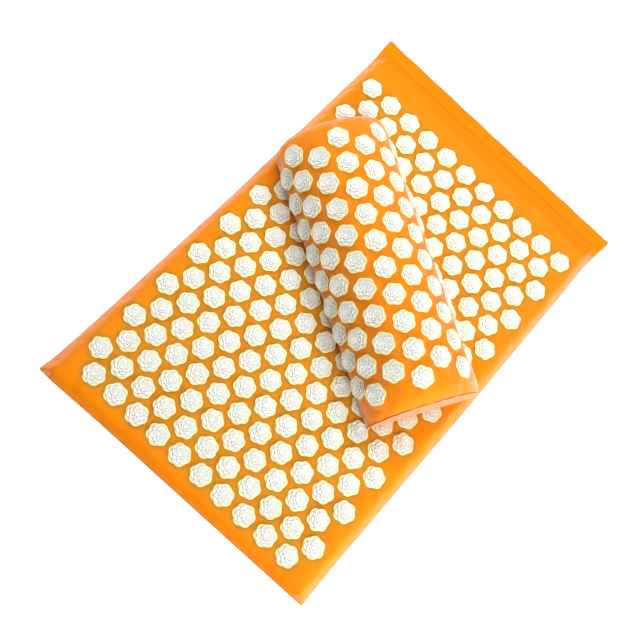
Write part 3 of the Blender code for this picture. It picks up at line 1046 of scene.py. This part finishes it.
# %% [markdown]
# ## The bottom panel
# The underside is one plain cut of the same cotton. It lies flat on the floor and reaches
# under the closure flap, where the loop tape is sewn to it. Its edge follows the same
# wandering outline as the top panel, because one seam joins the two.

# %% Make the bottom panel
base_step = 9.0 * mm


def bottom_points():
    """The bottom panel as a grid that follows the sewn outline."""
    y = np.linspace(base_low.y, base_high.y, round((base_high.y - base_low.y) / base_step) + 1)
    share = np.linspace(-1.0, 1.0, round(2 * base_high.x / base_step) + 1)
    x, places = sewn_outline(y, share)
    return np.stack([x, places, np.full(x.shape, base_high.z)], axis=-1)


def grid_piece(name, points, finish):
    """A sheet from its grid of points, with its own cloth map."""
    return make_piece(name, points, grid_faces(*points.shape[:2]), finish, cloth_map(points))


bottom = grid_piece("mat_bottom_panel", bottom_points(), base_finish)
thicken(bottom, cloth_thickness)
stand_in(bottom, "mat", "mat_bottom_cover")

# %% [markdown]
# ## Foam slabs
# The cores are cut foam: flat faces, edges pressed round by the cover, and open cells all
# over. They hardly show, but the slab can be glimpsed when the flap is up, and a piece
# that someone takes apart should be right inside as well.

# %% Make the mat's foam slab
foam_step = 12.0 * mm
foam_press = 3.0 * mm
foam_top_press = 0.4 * mm
foam_stop_share = 0.74
foam_round_share = 0.5
side_points = 9
end_points = 5
least_end_share = 0.02


def slab_points(low, high, radius, step):
    """A closed slab as a bent grid: each ring runs once round its cross-section."""
    middle_z = (low.z + high.z) / 2
    half_height = (high.z - low.z) / 2
    turn = np.linspace(0.0, math.pi, side_points)
    right = [(radius * math.sin(a), half_height * math.cos(a)) for a in turn]
    count = round((high.x - low.x) / step)
    top = np.linspace(low.x + radius, high.x - radius, count + 1)
    ring = [(x, half_height) for x in top[:-1]]
    ring += [(high.x - radius + dx, dz) for dx, dz in right]
    ring += [(x, -half_height) for x in top[::-1][1:-1]]
    ring += [(low.x + radius - dx, dz) for dx, dz in reversed(right[1:])]
    ring = np.array(ring)
    ends = radius * (1 - np.cos(np.linspace(0.0, math.pi / 2, end_points)))
    inner = np.linspace(low.y + radius, high.y - radius, round((high.y - low.y) / step))
    y = np.concatenate([low.y + ends, inner[1:-1], high.y - ends[::-1]])
    near = np.minimum(y - low.y, high.y - y)
    shrink = np.sqrt(np.clip(1 - (1 - np.minimum(near / radius, 1)) ** 2, least_end_share, 1))
    centre_x = (low.x + high.x) / 2
    inset = (1 - shrink) * radius
    rows = []
    for place, share, back in zip(y, shrink, inset):
        x = centre_x + (ring[:, 0] - centre_x) * (1 - back / (high.x - centre_x))
        rows.append(np.stack([x, np.full(len(ring), place), middle_z + ring[:, 1] * share], axis=-1))
    return np.array(rows)


def cap_grid(points, faces, columns):
    """Close both ends of a tube-like grid."""
    rows = len(points.reshape(-1, 3)) // columns
    faces = [tuple(face) for face in faces]
    faces.append(tuple(range(columns)))
    faces.append(tuple(range((rows - 1) * columns, rows * columns))[::-1])
    return faces


def outward_caps(faces):
    """Turn the two caps of a tube over, for a grid whose faces were turned over."""
    return faces[:-2] + [face[::-1] for face in faces[-2:]]


foam_low, foam_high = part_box("mat_foam_core")
foam_high.y = fold_y - foam_stop_share * far_slope
foam_low.x += foam_press
foam_high.x -= foam_press
foam_high.z -= foam_top_press
foam_radius = foam_round_share * (foam_high.z - foam_low.z)
slab = slab_points(foam_low, foam_high, foam_radius, foam_step)
slab_faces = cap_grid(slab, grid_faces(*slab.shape[:2], closed=True), slab.shape[1])
mat_foam = make_piece("mat_foam_slab", slab, slab_faces, foam_finish)
stand_in(mat_foam, "mat", "mat_foam_core")
print("foam slab", tuple(round(side / mm, 1) for side in foam_high - foam_low), "mm")

# %% [markdown]
# ## Stitches
# A row of machine stitches is a line of short thread humps, each dipping into the cloth at
# both ends. One hump is a small closed spindle, and a helper repeats it along any line of
# points. All stitches of one row are joined into one piece.

# %% Write the stitch helper
stitch_length = 3.0 * mm
stitch_gap = 0.7 * mm
stitch_radius = 0.32 * mm
spindle_sides = 8
spindle_profile = ((-0.5, 0.12), (-0.42, 0.38), (-0.2, 0.5), (0.2, 0.5), (0.42, 0.38), (0.5, 0.12))
upwards = (0.0, 0.0, 1.0)


def spindle():
    """A small spindle along X, one unit long and one across."""
    turn = np.linspace(0.0, 2 * math.pi, spindle_sides, endpoint=False)
    ring = np.stack([np.cos(turn), np.sin(turn)], axis=-1)
    rows = [np.column_stack([np.full(spindle_sides, x), ring * r]) for x, r in spindle_profile]
    points = np.concatenate(rows)
    sides = grid_faces(len(rows), spindle_sides, closed=True)[:, ::-1]
    return points, outward_caps(cap_grid(points, sides, spindle_sides))


def add_stitches(name, line, finish, length=stitch_length):
    """A row of stitches along a level line of points, each lying on the cloth."""
    line = np.asarray(line, dtype=float)
    run = lengths_along(line[None], 1)[0]
    count = int((run[-1] + stitch_gap) / (length + stitch_gap))
    shape, shape_faces = spindle()
    scaled = shape * np.array([length, 2 * stitch_radius, 2 * stitch_radius])
    copies = []
    for index in range(count):
        start = index * (length + stitch_gap)
        ends = [[np.interp(t, run, line[:, k]) for k in range(3)] for t in (start, start + length)]
        first, last = np.array(ends)
        forward = (last - first) / np.linalg.norm(last - first)
        side = np.cross(upwards, forward)
        side = side / np.linalg.norm(side)
        turn = np.stack([forward, side, np.cross(forward, side)], axis=-1)
        copies.append(scaled @ turn.T + (first + last) / 2)
    return make_piece(name, *joined_copies(copies, shape_faces), finish)


def fibre(path, radius, sides=4, out=(0.0, 1.0, 0.0)):
    """A thin closed fibre along a path. The way out is any way that the path never runs."""
    path = np.asarray(path, dtype=float)
    forward = np.gradient(path, axis=0)
    forward /= np.linalg.norm(forward, axis=1, keepdims=True)
    side = np.cross(forward, out)
    side /= np.linalg.norm(side, axis=1, keepdims=True)
    over = np.cross(side, forward)
    turn = np.linspace(0.0, 2 * math.pi, sides, endpoint=False)
    ring = np.cos(turn)[None, :, None] * side[:, None] + np.sin(turn)[None, :, None] * over[:, None]
    points = (path[:, None] + radius * ring).reshape(-1, 3)
    return points, cap_grid(points, grid_faces(len(path), sides, closed=True), sides)


print("a stitch has", len(spindle()[0]), "points")

# %% [markdown]
# ## The seam round the mat
# The two panels are sewn together round three sides, and the far end stays open for the
# flap. Seen from above, that seam is a thin brown line just outside the cloth, partly its
# overcast thread and partly the shade in the seam. A rounded cord of dark brown thread
# along the cover's own edge draws it, so the cord's colour is partly thread and partly
# painted shade.

# %% Sew the mat's edge
seam_radius = 0.5 * mm
seam_sides = 8
seam_drop = 0.8 * mm


def add_seam(name, path, body, out, finish):
    """An overcast seam edge as a cord of thread along a path."""
    points, faces = fibre(path, seam_radius, sides=seam_sides, out=out)
    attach(make_piece(name, points, faces, finish), body)


edge_path = np.concatenate([mat_sheet[::-1, 0], mat_sheet[0, 1:], mat_sheet[1:, -1]])
edge_path[:, 2] -= seam_drop
# Painted shade: the dark cord draws the shade along the seam as well as its thread.
add_seam("mat_edge_seam", edge_path, "mat", upwards, edge_thread)
print("edge seam", round(lengths_along(edge_path[None], 1)[0, -1], 2), "m long")

# %% [markdown]
# ## The closure flap
# At the far end the top panel goes on past the foam as a flat hem. Hook tape under it
# grips loop tape on the bottom panel, and peeling the hem up opens the cover. The hem is
# cloth, so the fold isn't a sharp hinge; here its rows lie close together at the fold and
# tuck a little under the cover's end. Its ends are rounded ears that stick out past the foam.

# %% Make the flap
flap_step = 5.0 * mm
ear_round = {-1: 4.0 * mm, 1: 3.0 * mm}
ear_cut = {-1: 2.0 * mm, 1: 1.6 * mm}
notch_depth = {-1: 0.8 * mm, 1: 1.6 * mm}
notch_half = 4.0 * mm
notch_back = 1.0 * mm
tuck_under = 0.5 * mm
tuck_reach = 2.4 * mm
tuck_most = 1.5
corner_share = 0.07
corner_lift = 0.8 * mm
edge_waver, edge_turns = 0.3 * mm, 23.0
hem_waver, hem_turns = 0.25 * mm, 31.0
bend_rows = np.array([-1.2, -0.2, 1.0, 2.4, 4.0, 6.0]) * mm
middle_rows = (9.0 * mm, 3.0 * mm)
edge_rows = np.array([1.8, 0.8, 0.0]) * mm
flap_top = flap_high.z


def flap_outline(side, back, depth):
    """Half the hem's width at each row: a notch by the fold and a rounded ear at the end."""
    y = fold_y + back
    into = 1 - np.minimum((depth - back) / ear_round[side], 1.0)
    cut = ear_cut[side] * (1 - np.sqrt(np.clip(1 - into ** 2, 0, 1)))
    notch = notch_depth[side] * np.clip(1 - np.abs(back - notch_back) / notch_half, 0, 1)
    return flap_high.x + wander(side_wander[side], y) - cut - notch


def flap_points():
    """The hem as a grid, from just under the cover's end to its own far edge."""
    depth = flap_high.y - fold_y
    middle = np.linspace(middle_rows[0], depth - middle_rows[1], 3)
    back = np.concatenate([bend_rows, middle, depth - edge_rows])
    share = np.linspace(-1.0, 1.0, round(2 * flap_high.x / flap_step) + 1)
    left, right = (flap_outline(side, back, depth)[:, None] for side in (-1, 1))
    x = share * np.where(share < 0, left, right)
    outer = np.clip(back / depth, 0, 1)[:, None]
    stray = wander(far_wander, share * flap_high.x) + edge_waver * np.sin(share * edge_turns)
    places = (fold_y + back)[:, None] + stray * outer
    corner = np.clip(1 - (1 - np.abs(share)) / corner_share, 0, 1)
    lift = (hem_waver * np.sin(share * hem_turns + 1.0) + corner_lift * corner) * outer
    tuck = tuck_under * np.clip(1 - back / tuck_reach, 0, tuck_most)[:, None]
    return np.stack([x, places, flap_top + lift - tuck], axis=-1)


def bend_at_fold(piece):
    """Bake a piece's place into its own mesh."""
    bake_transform(piece)


flap_grid = flap_points()
flap = grid_piece("closure_hem", flap_grid, hem_finish)
round_off(flap)
thicken(flap, cloth_thickness)
bend_at_fold(flap)
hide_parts("mat_closure_flap")

# %% Stitch the flap
stitch_proud_share = 0.45
stitch_rise = flap_top + stitch_proud_share * stitch_radius
stitch_reach = flap_high.x - 7.0 * mm
stitch_waver, stitch_turns = 0.15 * mm, 90
stitch_rows = {"near": fold_y + 1.4 * mm, "far": flap_high.y - 1.8 * mm}
tack_reach = flap_high.x - 5.5 * mm
tack_length = 2.8 * mm
tack_places = fold_y - 1.5 * mm + np.linspace(0.0, 3.0 * mm, 4)
ear_rows = 5


def stitch_line(y):
    """A nearly straight line of points across the mat."""
    x = np.linspace(-stitch_reach, stitch_reach, 60)
    return np.stack([x, y + stitch_waver * np.sin(x * stitch_turns), np.full(len(x), stitch_rise)], axis=-1)


for place, y in stitch_rows.items():
    bend_at_fold(add_stitches(f"hem_stitches_{place}", stitch_line(y), seam_thread))
hem_edge = np.concatenate([flap_grid[-ear_rows:-1, 0], flap_grid[-1], flap_grid[-ear_rows:-1, -1][::-1]])
hem_edge[:, 2] -= 0.5 * cloth_thickness
# Painted shade: the dark cord also draws the shade under the hem's edge and ears.
add_seam("hem_edge_seam", hem_edge, "closure_flap", upwards, edge_thread)
for side, place in ((-1, "left"), (1, "right")):
    tack_line = [(side * tack_reach, y, flap_top) for y in tack_places]
    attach(add_stitches(f"hem_tack_{place}", tack_line, tack_thread_and_seam_shade, tack_length), "mat")
print("hem stitched")

# %% [markdown]
# ## Hook and loop tape
# One tape carries rows of stiff little hooks, the other a felt of fine loops. Both are
# built as a woven strip with its real tufts standing on it, so that the opened closure
# looks right. At rest they face each other, hidden between the flap and the bottom panel.

# %% Make the tapes
tuft_pitch = 2.1 * mm
tuft_turn = 0.5
strip_share = 0.42
strip_points = (60, 5)
hook_radius = 0.09 * mm
hook_turn = 1.25 * math.pi
hook_bend_share = 0.36
hook_root, hook_spare = 0.05 * mm, 0.06 * mm
loop_radius = 0.06 * mm
loop_width_share, loop_height_share = 0.55, 0.85
loop_root = 0.03 * mm


def tape_piece(name, node, facing, body, finish, tuft, corners=None, place=np.asarray):
    """A woven strip with tufts on the side that faces the other tape."""
    low, high = corners or (np.array(corner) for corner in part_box(node))
    thick = (high[2] - low[2]) * strip_share
    flat_z = low[2] if facing > 0 else high[2]
    face_z = flat_z + facing * thick
    sides = [np.linspace(low[k], high[k], strip_points[k]) for k in (0, 1)]
    grid_x, grid_y = np.meshgrid(*sides)
    top = np.stack([grid_x, grid_y, np.full(grid_x.shape, face_z)], axis=-1)
    strip = make_piece(name, place(top), grid_faces(*grid_x.shape), finish, cloth_map(top))
    thicken(strip, thick, -facing)
    tall = (high[2] - low[2]) - thick
    spots_x = np.arange(low[0] + tuft_pitch, high[0] - 0.5 * tuft_pitch, tuft_pitch)
    spots_y = np.arange(low[1] + 0.8 * tuft_pitch, high[1] - 0.5 * tuft_pitch, tuft_pitch)
    shape, shape_faces = tuft(tall)
    shape = shape * np.array([1.0, 1.0, facing])
    if facing < 0:
        shape_faces = [face[::-1] for face in shape_faces]
    copies = []
    for spot_x in spots_x:
        for spot_y in spots_y:
            spin = np.array(Matrix.Rotation(chance.uniform(-tuft_turn, tuft_turn), 3, "Z"))
            copies.append(shape @ spin.T + np.array([spot_x, spot_y, face_z]))
    points, faces = joined_copies(copies, shape_faces)
    tufts = make_piece(f"{name}_tufts", place(points), faces, finish)
    stand_in(strip, body, node)
    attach(tufts, body)


def hook(tall):
    """A stiff hook: a stem that bends over to one side."""
    bend = hook_bend_share * tall
    path = [(0.0, 0.0, -hook_root)]
    for a in np.linspace(0.0, hook_turn, 6):
        height = tall - bend + bend * math.sin(a) - hook_spare
        path.append((bend * (1 - math.cos(a)), 0.0, height))
    return fibre(path, hook_radius)


def loop(tall):
    """A fine loop: a fibre that leaves the strip and comes back to it."""
    width, height = loop_width_share * tall, loop_height_share * tall
    turn = np.linspace(0.0, math.pi, 6)
    path = [(width * math.cos(a), 0.0, height * math.sin(a) - loop_root) for a in turn]
    return fibre(path, loop_radius)


tape_piece("mat_hook_strip", "mat_hook_tape", -1, "closure_flap", hook_finish, hook)
tape_piece("mat_loop_strip", "mat_loop_tape", 1, "mat", loop_finish, loop)
print("tapes for the mat's closure made")

# %% [markdown]
# ## The pillow's own directions
# The pillow lies slantwise on the mat. Its shape is much easier to write down along its own
# length, so the next cells work in the pillow's directions and turn the result into place
# at the end. Both the turn and the size are read from the frame.

# %% Find the pillow's directions
pillow_along = disc_seats("pillow_disc_row_4", pillow_middle)[0][2]
pillow_yaw = math.atan2(pillow_along[1], pillow_along[0])
yaw_turn = np.array(Matrix.Rotation(pillow_yaw, 3, "Z"))
turned = node_points("pillow_studded_cover") @ yaw_turn
turned_low, turned_high = turned.min(axis=0), turned.max(axis=0)
pillow_centre = (turned_low + turned_high) / 2
pillow_centre[2] = node_points("pillow_base_front")[:, 2].min()
pillow_half = turned_high[0] - pillow_centre[0] + cloth_thickness
pillow_half_width = (turned_high[1] - turned_low[1]) / 2
pillow_tall = turned_high[2] - pillow_centre[2]


def to_frame(points):
    """Points in the pillow's directions, brought into the frame."""
    return (np.asarray(points) + pillow_centre) @ yaw_turn.T


def from_frame(points):
    """Points of the frame, in the pillow's own directions."""
    return points @ yaw_turn - pillow_centre


def pillow_corners(node):
    """Lowest and highest corners of a node in the pillow's own directions."""
    points = from_frame(node_points(node))
    return points.min(axis=0), points.max(axis=0)


def in_pillow(row):
    """Seats of a row of discs, in the pillow's own directions."""
    return [(from_frame(foot), axis @ yaw_turn, along @ yaw_turn) for foot, axis, along in row]


print("pillow turned", round(math.degrees(pillow_yaw), 1), "degrees")
pillow_sides = (2 * pillow_half, 2 * pillow_half_width, pillow_tall)
print("pillow", [round(side / mm) for side in pillow_sides], "mm")

# %% [markdown]
# ## The pillow's shell
# The studded panel wraps over the half-round foam from one long edge to the other, and a
# half-round panel closes each end. To swell them together, they are first one bag that is
# open underneath: the cover's grid and a fan for each end. The bag is simulated once, held
# along its open edge, and then taken apart again, so that the seams still meet exactly.

# %% Shape the pillow's bag
pillow_step = 5.0 * mm
section_power = 2.2
end_droop = 11.0 * mm
end_power = 9
end_round = {1: 14.0 * mm, -1: 15.0 * mm}
end_fall = {1: 9.0 * mm, -1: 11.0 * mm}
right_end_power = 1.6
end_narrow = {1: 2.0 * mm, -1: 13.0 * mm}
middle_narrow = 2.0 * mm
end_swell = {1: 7.0 * mm, -1: 4.0 * mm}
seam_line = 1.3 * mm
fan_steps = 9
section_samples = 721
end_step = 0.5 * pillow_step


def section(count):
    """Evenly spaced points of the half-round section, front to rear."""
    fine = np.linspace(0.0, math.pi, section_samples)
    power = 2 / section_power
    y = -pillow_half_width * np.sign(np.cos(fine)) * np.abs(np.cos(fine)) ** power
    z = seam_line + (pillow_tall - seam_line) * np.sin(fine) ** power
    line = np.stack([y, z], axis=-1)
    run = lengths_along(line[None], 1)[0]
    places = np.linspace(0.0, run[-1], count)
    return np.interp(places, run, y), np.interp(places, run, z), run[-1]


def end_turn(t):
    """How far an end has turned over: nought along the pillow, one at its very end."""
    run = np.where(t > 0, end_round[1], end_round[-1])
    into = np.clip(1 - (pillow_half - np.abs(t)) / run, 0, 1)
    round_turn = 1 - np.sqrt(1 - into ** 2)
    return np.where(t > 0, into ** right_end_power, round_turn)


def width_share(t):
    """The pillow's width at a place along it, as a share of its full width."""
    narrow = np.where(t > 0, end_narrow[1], end_narrow[-1]) - middle_narrow
    return 1 - (middle_narrow + narrow * end_turn(t)) / pillow_half_width


def pillow_surface(t, y, z):
    """Carry a section point along the pillow: the crown droops, then turns over the end."""
    reach = np.minimum(np.abs(t) / pillow_half, 1.0) ** end_power
    drop = end_droop * reach + np.where(t > 0, end_fall[1], end_fall[-1]) * end_turn(t)
    rise = (z - seam_line) * (1 - drop / pillow_tall)
    return np.stack([t + 0 * y, y * width_share(t), seam_line + rise], axis=-1)


arc_length = section(3)[2]
section_count = round(arc_length / pillow_step) + 1
section_y, section_z, arc_length = section(section_count)
ends = [rounded_end(end_round[side], end_fall[side], end_step) for side in (-1, 1)]
stations = run_between(2 * pillow_half, *ends, pillow_step)[0] - pillow_half
station_count = len(stations)
pillow_grid = pillow_surface(stations[:, None], section_y[None, :], section_z[None, :])
local_seats = {name: in_pillow(row) for name, row in pillow_seats.items()}
pillow_grid[1:-1, 1:-1] = lay_on_plates(pillow_grid[1:-1, 1:-1], local_seats)


def end_fan(side):
    """An end panel as a fan of rings round the middle of its base, without its rim."""
    rim = pillow_grid[-1 if side > 0 else 0]
    hub = np.array([side * pillow_half, 0.0, seam_line])
    rings = []
    for share in np.linspace(0.0, 1.0, fan_steps + 1)[1:-1]:
        ring = hub + (rim - hub) * share
        height = np.clip((ring[:, 2] - seam_line) / (rim[:, 2].max() - seam_line), 0, 1)
        swelling = end_swell[side] * (1 - share ** 2) * np.sqrt(height)
        ring[:, 0] += side * swelling
        rings.append(ring)
    return hub, np.array(rings)


def build_bag():
    """Points and faces of the bag, with the faces of each panel named."""
    rows, columns = pillow_grid.shape[:2]
    points = [pillow_grid.reshape(-1, 3)]
    panels = {"cover": [tuple(face) for face in grid_faces(rows, columns)[:, ::-1]]}
    start = rows * columns
    for side, name in ((1, "right"), (-1, "left")):
        hub, rings = end_fan(side)
        points += [hub[None], rings.reshape(-1, 3)]
        hub_index = start
        ring_index = start + 1 + np.arange(rings.shape[0] * columns).reshape(-1, columns)
        rim_row = (rows - 1) * columns if side > 0 else 0
        ring_index = np.concatenate([ring_index, rim_row + np.arange(columns)[None]])
        faces = []
        for k in range(columns - 1):
            faces.append((hub_index, ring_index[0, k], ring_index[0, k + 1]))
            for ring in range(len(ring_index) - 1):
                a, b = ring_index[ring, k], ring_index[ring, k + 1]
                c, d = ring_index[ring + 1, k + 1], ring_index[ring + 1, k]
                faces.append((a, d, c, b))
        panels[name] = faces if side > 0 else [face[::-1] for face in faces]
        start += 1 + rings.shape[0] * columns
    return np.concatenate(points), panels


bag_points, bag_panels = build_bag()
print("bag points", len(bag_points), {name: len(faces) for name, faces in bag_panels.items()})

# %% Swell the pillow
pillow_pressure = 5.0
pillow_growth = 0.015
pillow_swell_cap = 2.6 * mm
seam_hold = 0.75
seam_ease = 0.1 * mm
bag_held = held_by_discs(bag_points, local_seats)
bag_held[bag_points[:, 2] < seam_line + seam_ease] = 1.0
first_rim = np.arange(section_count)
rims = np.concatenate([first_rim, (station_count - 1) * section_count + first_rim])
bag_held[rims] = np.maximum(bag_held[rims], seam_hold)
bag_faces = bag_panels["cover"] + bag_panels["right"] + bag_panels["left"]
blown = (pillow_pressure, pillow_growth, pillow_swell_cap)
bag_points = swell("pillow_swelling", bag_points, bag_faces, bag_held, *blown)
print("pillow bag swollen")

# %% [markdown]
# ## Taking the bag apart into panels
# Each panel gets its own piece with the threads running along its cut. Near the end seams
# the cloth is gathered a little, so fine puckers run in from the seam and fade out. The
# rings of painted shade round the discs looked like smudges on the pillow at the mat's full
# strength, so they are weaker here.

# %% Make the pillow's panels
pucker_wave = 8.5 * mm
pucker_height = 0.45 * mm
pucker_reach = 16.0 / 2.2 * mm
pucker_start = 3.0 * mm
pucker_waves = ((1.0, 1.0), (1.7, 0.6), (0.6, 0.4))
pucker_seed = 3
# How strong the painted shade by the discs is on the pillow.
pillow_disc_shade_share = 0.42


def puckers(run, distance):
    """Outward ripple near a seam: run is along the seam, distance is away from it."""
    shift = np.random.default_rng(pucker_seed).uniform(0, 2 * math.pi, 3)
    turn = run * 2 * math.pi / pucker_wave
    wave = sum(part * np.sin(turn / size + start) for (size, part), start in zip(pucker_waves, shift))
    fade = np.exp(-distance / pucker_reach) * np.minimum(distance / pucker_start, 1.0)
    return pucker_height * wave * fade


def surface_normals(points):
    """Unit normals of a grid, from its two directions."""
    along = np.gradient(points, axis=0)
    over = np.gradient(points, axis=1)
    normal = np.cross(over, along)
    return normal / np.linalg.norm(normal, axis=-1, keepdims=True)


def panel_piece(name, points, faces, finish, cut, node):
    """One sewn panel of the pillow, in the frame, on the pillow's body."""
    piece = make_piece(name, to_frame(points), faces, finish, cut)
    finish_cloth(piece, "pillow", node)
    return piece


cover_count = station_count * section_count
cover_grid = bag_points[:cover_count].reshape(station_count, section_count, 3)
outwards = surface_normals(cover_grid)
if outwards[station_count // 2, section_count // 2, 2] < 0:
    outwards = -outwards
run_over = np.linspace(0.0, arc_length, section_count)[None, :]
from_end = (pillow_half - np.abs(stations))[:, None]
cover_held = bag_held[:cover_count].reshape(station_count, section_count)
gather = puckers(run_over, from_end) * (1 - cover_held)
studded = cover_grid + outwards * gather[..., None]
pillow_cover = panel_piece(
    "pillow_studded_panel",
    studded,
    bag_panels["cover"],
    pillow_finish,
    cloth_map(cover_grid),
    "pillow_studded_cover",
)
# Painted shade: the pillow's cloth darkens towards each disc, more weakly than the mat's.
paint_disc_shade(pillow_cover, pillow_seats, pillow_disc_shade_share)


def end_panel(name):
    """An end panel cut from the bag, its threads upright and across."""
    faces = bag_panels[name]
    used = sorted({corner for face in faces for corner in face})
    index = {corner: number for number, corner in enumerate(used)}
    points = bag_points[used]
    faces = [tuple(index[corner] for corner in face) for face in faces]
    cut = points[:, 1:3]
    node = f"pillow_{name}_end_panel"
    piece = panel_piece(f"pillow_{name}_end", points, faces, end_finish, cut, node)


end_panel("right")
end_panel("left")
# Painted shade: a dark brown cord along each end seam stands for the seam's shade as well as its thread.
for name, row in (("right", -1), ("left", 0)):
    add_seam(f"pillow_{name}_seam", to_frame(studded[row]), "pillow", tuple(pillow_along), tack_thread_and_seam_shade)
print("pillow panels made")

# %% [markdown]
# ## The pillow's base and its closure
# Underneath, two panels overlap along the middle, and the same pair of tapes holds them
# shut, so that the foam can be taken out. The rear panel steps up over the front one.

# %% Make the pillow's base
base_overlap = 22.0 * mm
base_seam = 1.5 * mm
base_ramp = 8.0 * mm
ramp_profile = ((0.35, 0.25), (0.75, 0.8))
pillow_base_step = 8.0 * mm
front_edge = pillow_corners("pillow_base_front")[1][1]
lip = pillow_corners("pillow_base_rear")[1][2]


def carried(t, y, z):
    """A level profile carried along the pillow, narrowing with it."""
    x, height = np.broadcast_arrays(t[:, None], z[None, :])
    return np.stack([x, y[None, :] * width_share(t)[:, None], height], axis=-1)


def base_sheet(name, profile, node):
    """A base panel: a profile of (y, z) points carried along the pillow's length."""
    count = round(2 * pillow_half / pillow_base_step) + 1
    reach = pillow_half - cloth_thickness
    profile = np.array(profile)
    points = carried(np.linspace(-reach, reach, count), profile[:, 0], profile[:, 1])
    faces = grid_faces(*points.shape[:2])[:, ::-1]
    piece = make_piece(name, to_frame(points), faces, base_finish, cloth_map(points))
    thicken(piece, cloth_thickness)
    stand_in(piece, "pillow", node)


level = cloth_thickness
base_half = pillow_half_width - base_seam
front_profile = [(y, level) for y in np.linspace(-base_half, front_edge, 10)]
rear_profile = [(front_edge - back * base_overlap, lip) for back in (1.0, 0.5, 0.0)]
rear_profile += [(front_edge + on * base_ramp, lip + down * (level - lip)) for on, down in ramp_profile]
rear_profile += [(y, level) for y in np.linspace(front_edge + base_ramp, base_half, 7)]
base_sheet("pillow_base_front_panel", front_profile, "pillow_base_front")
base_sheet("pillow_base_rear_panel", rear_profile, "pillow_base_rear")
print("pillow base made")

# %% [markdown]
# ## Inside the pillow
# The half-round core is the same cut foam as the mat's slab. It follows the cover's shape a
# little further in, and its flat underside is hollowed along the middle, where the closure
# and its tapes need room.

# %% Make the pillow's foam block
foam_inset = 3.2 * mm
foam_end_inset = 9.0 * mm
foam_floor = 1.6 * mm
channel_rise = 4.6 * mm
channel_half = 20.0 * mm
channel_slope = 8.0 * mm
floor_points = 13


def foam_block_points():
    """Rings round the core, each the cover's section a little further in, with a flat floor."""
    count = section_count // 2
    y, z, _ = section(count)
    shrink_y = 1 - foam_inset / pillow_half_width
    shrink_z = 1 - foam_inset / pillow_tall
    under = np.linspace(1.0, -1.0, floor_points)[1:-1] * (pillow_half_width - foam_inset)
    hollow = np.clip((channel_half + channel_slope - np.abs(under)) / channel_slope, 0, 1)
    t = stations[::2] * (1 - foam_end_inset / pillow_half)
    arch = pillow_surface(t[:, None], (y * shrink_y)[None], (z * shrink_z)[None])
    arch[..., 2] = np.maximum(arch[..., 2], foam_floor)
    return np.concatenate([arch, carried(t, under, foam_floor + channel_rise * hollow)], axis=1)


block = foam_block_points()
block_sides = grid_faces(*block.shape[:2], closed=True)[:, ::-1]
block_faces = outward_caps(cap_grid(block, block_sides, block.shape[1]))
pillow_foam = make_piece("pillow_foam_block", to_frame(block), block_faces, foam_finish)
stand_in(pillow_foam, "pillow", "pillow_foam_core")
print("pillow foam rings", block.shape[:2])

# %% Make the pillow's tapes
for kind, facing, finish, tuft in (("hook", -1, hook_finish, hook), ("loop", 1, loop_finish, loop)):
    node, slot = f"pillow_{kind}_tape", f"{kind}_tape"
    corners = pillow_corners(node)
    tape_piece(f"pillow_{kind}_strip", node, facing, "pillow", finish, tuft, corners, to_frame)
print("tapes for the pillow's closure made")
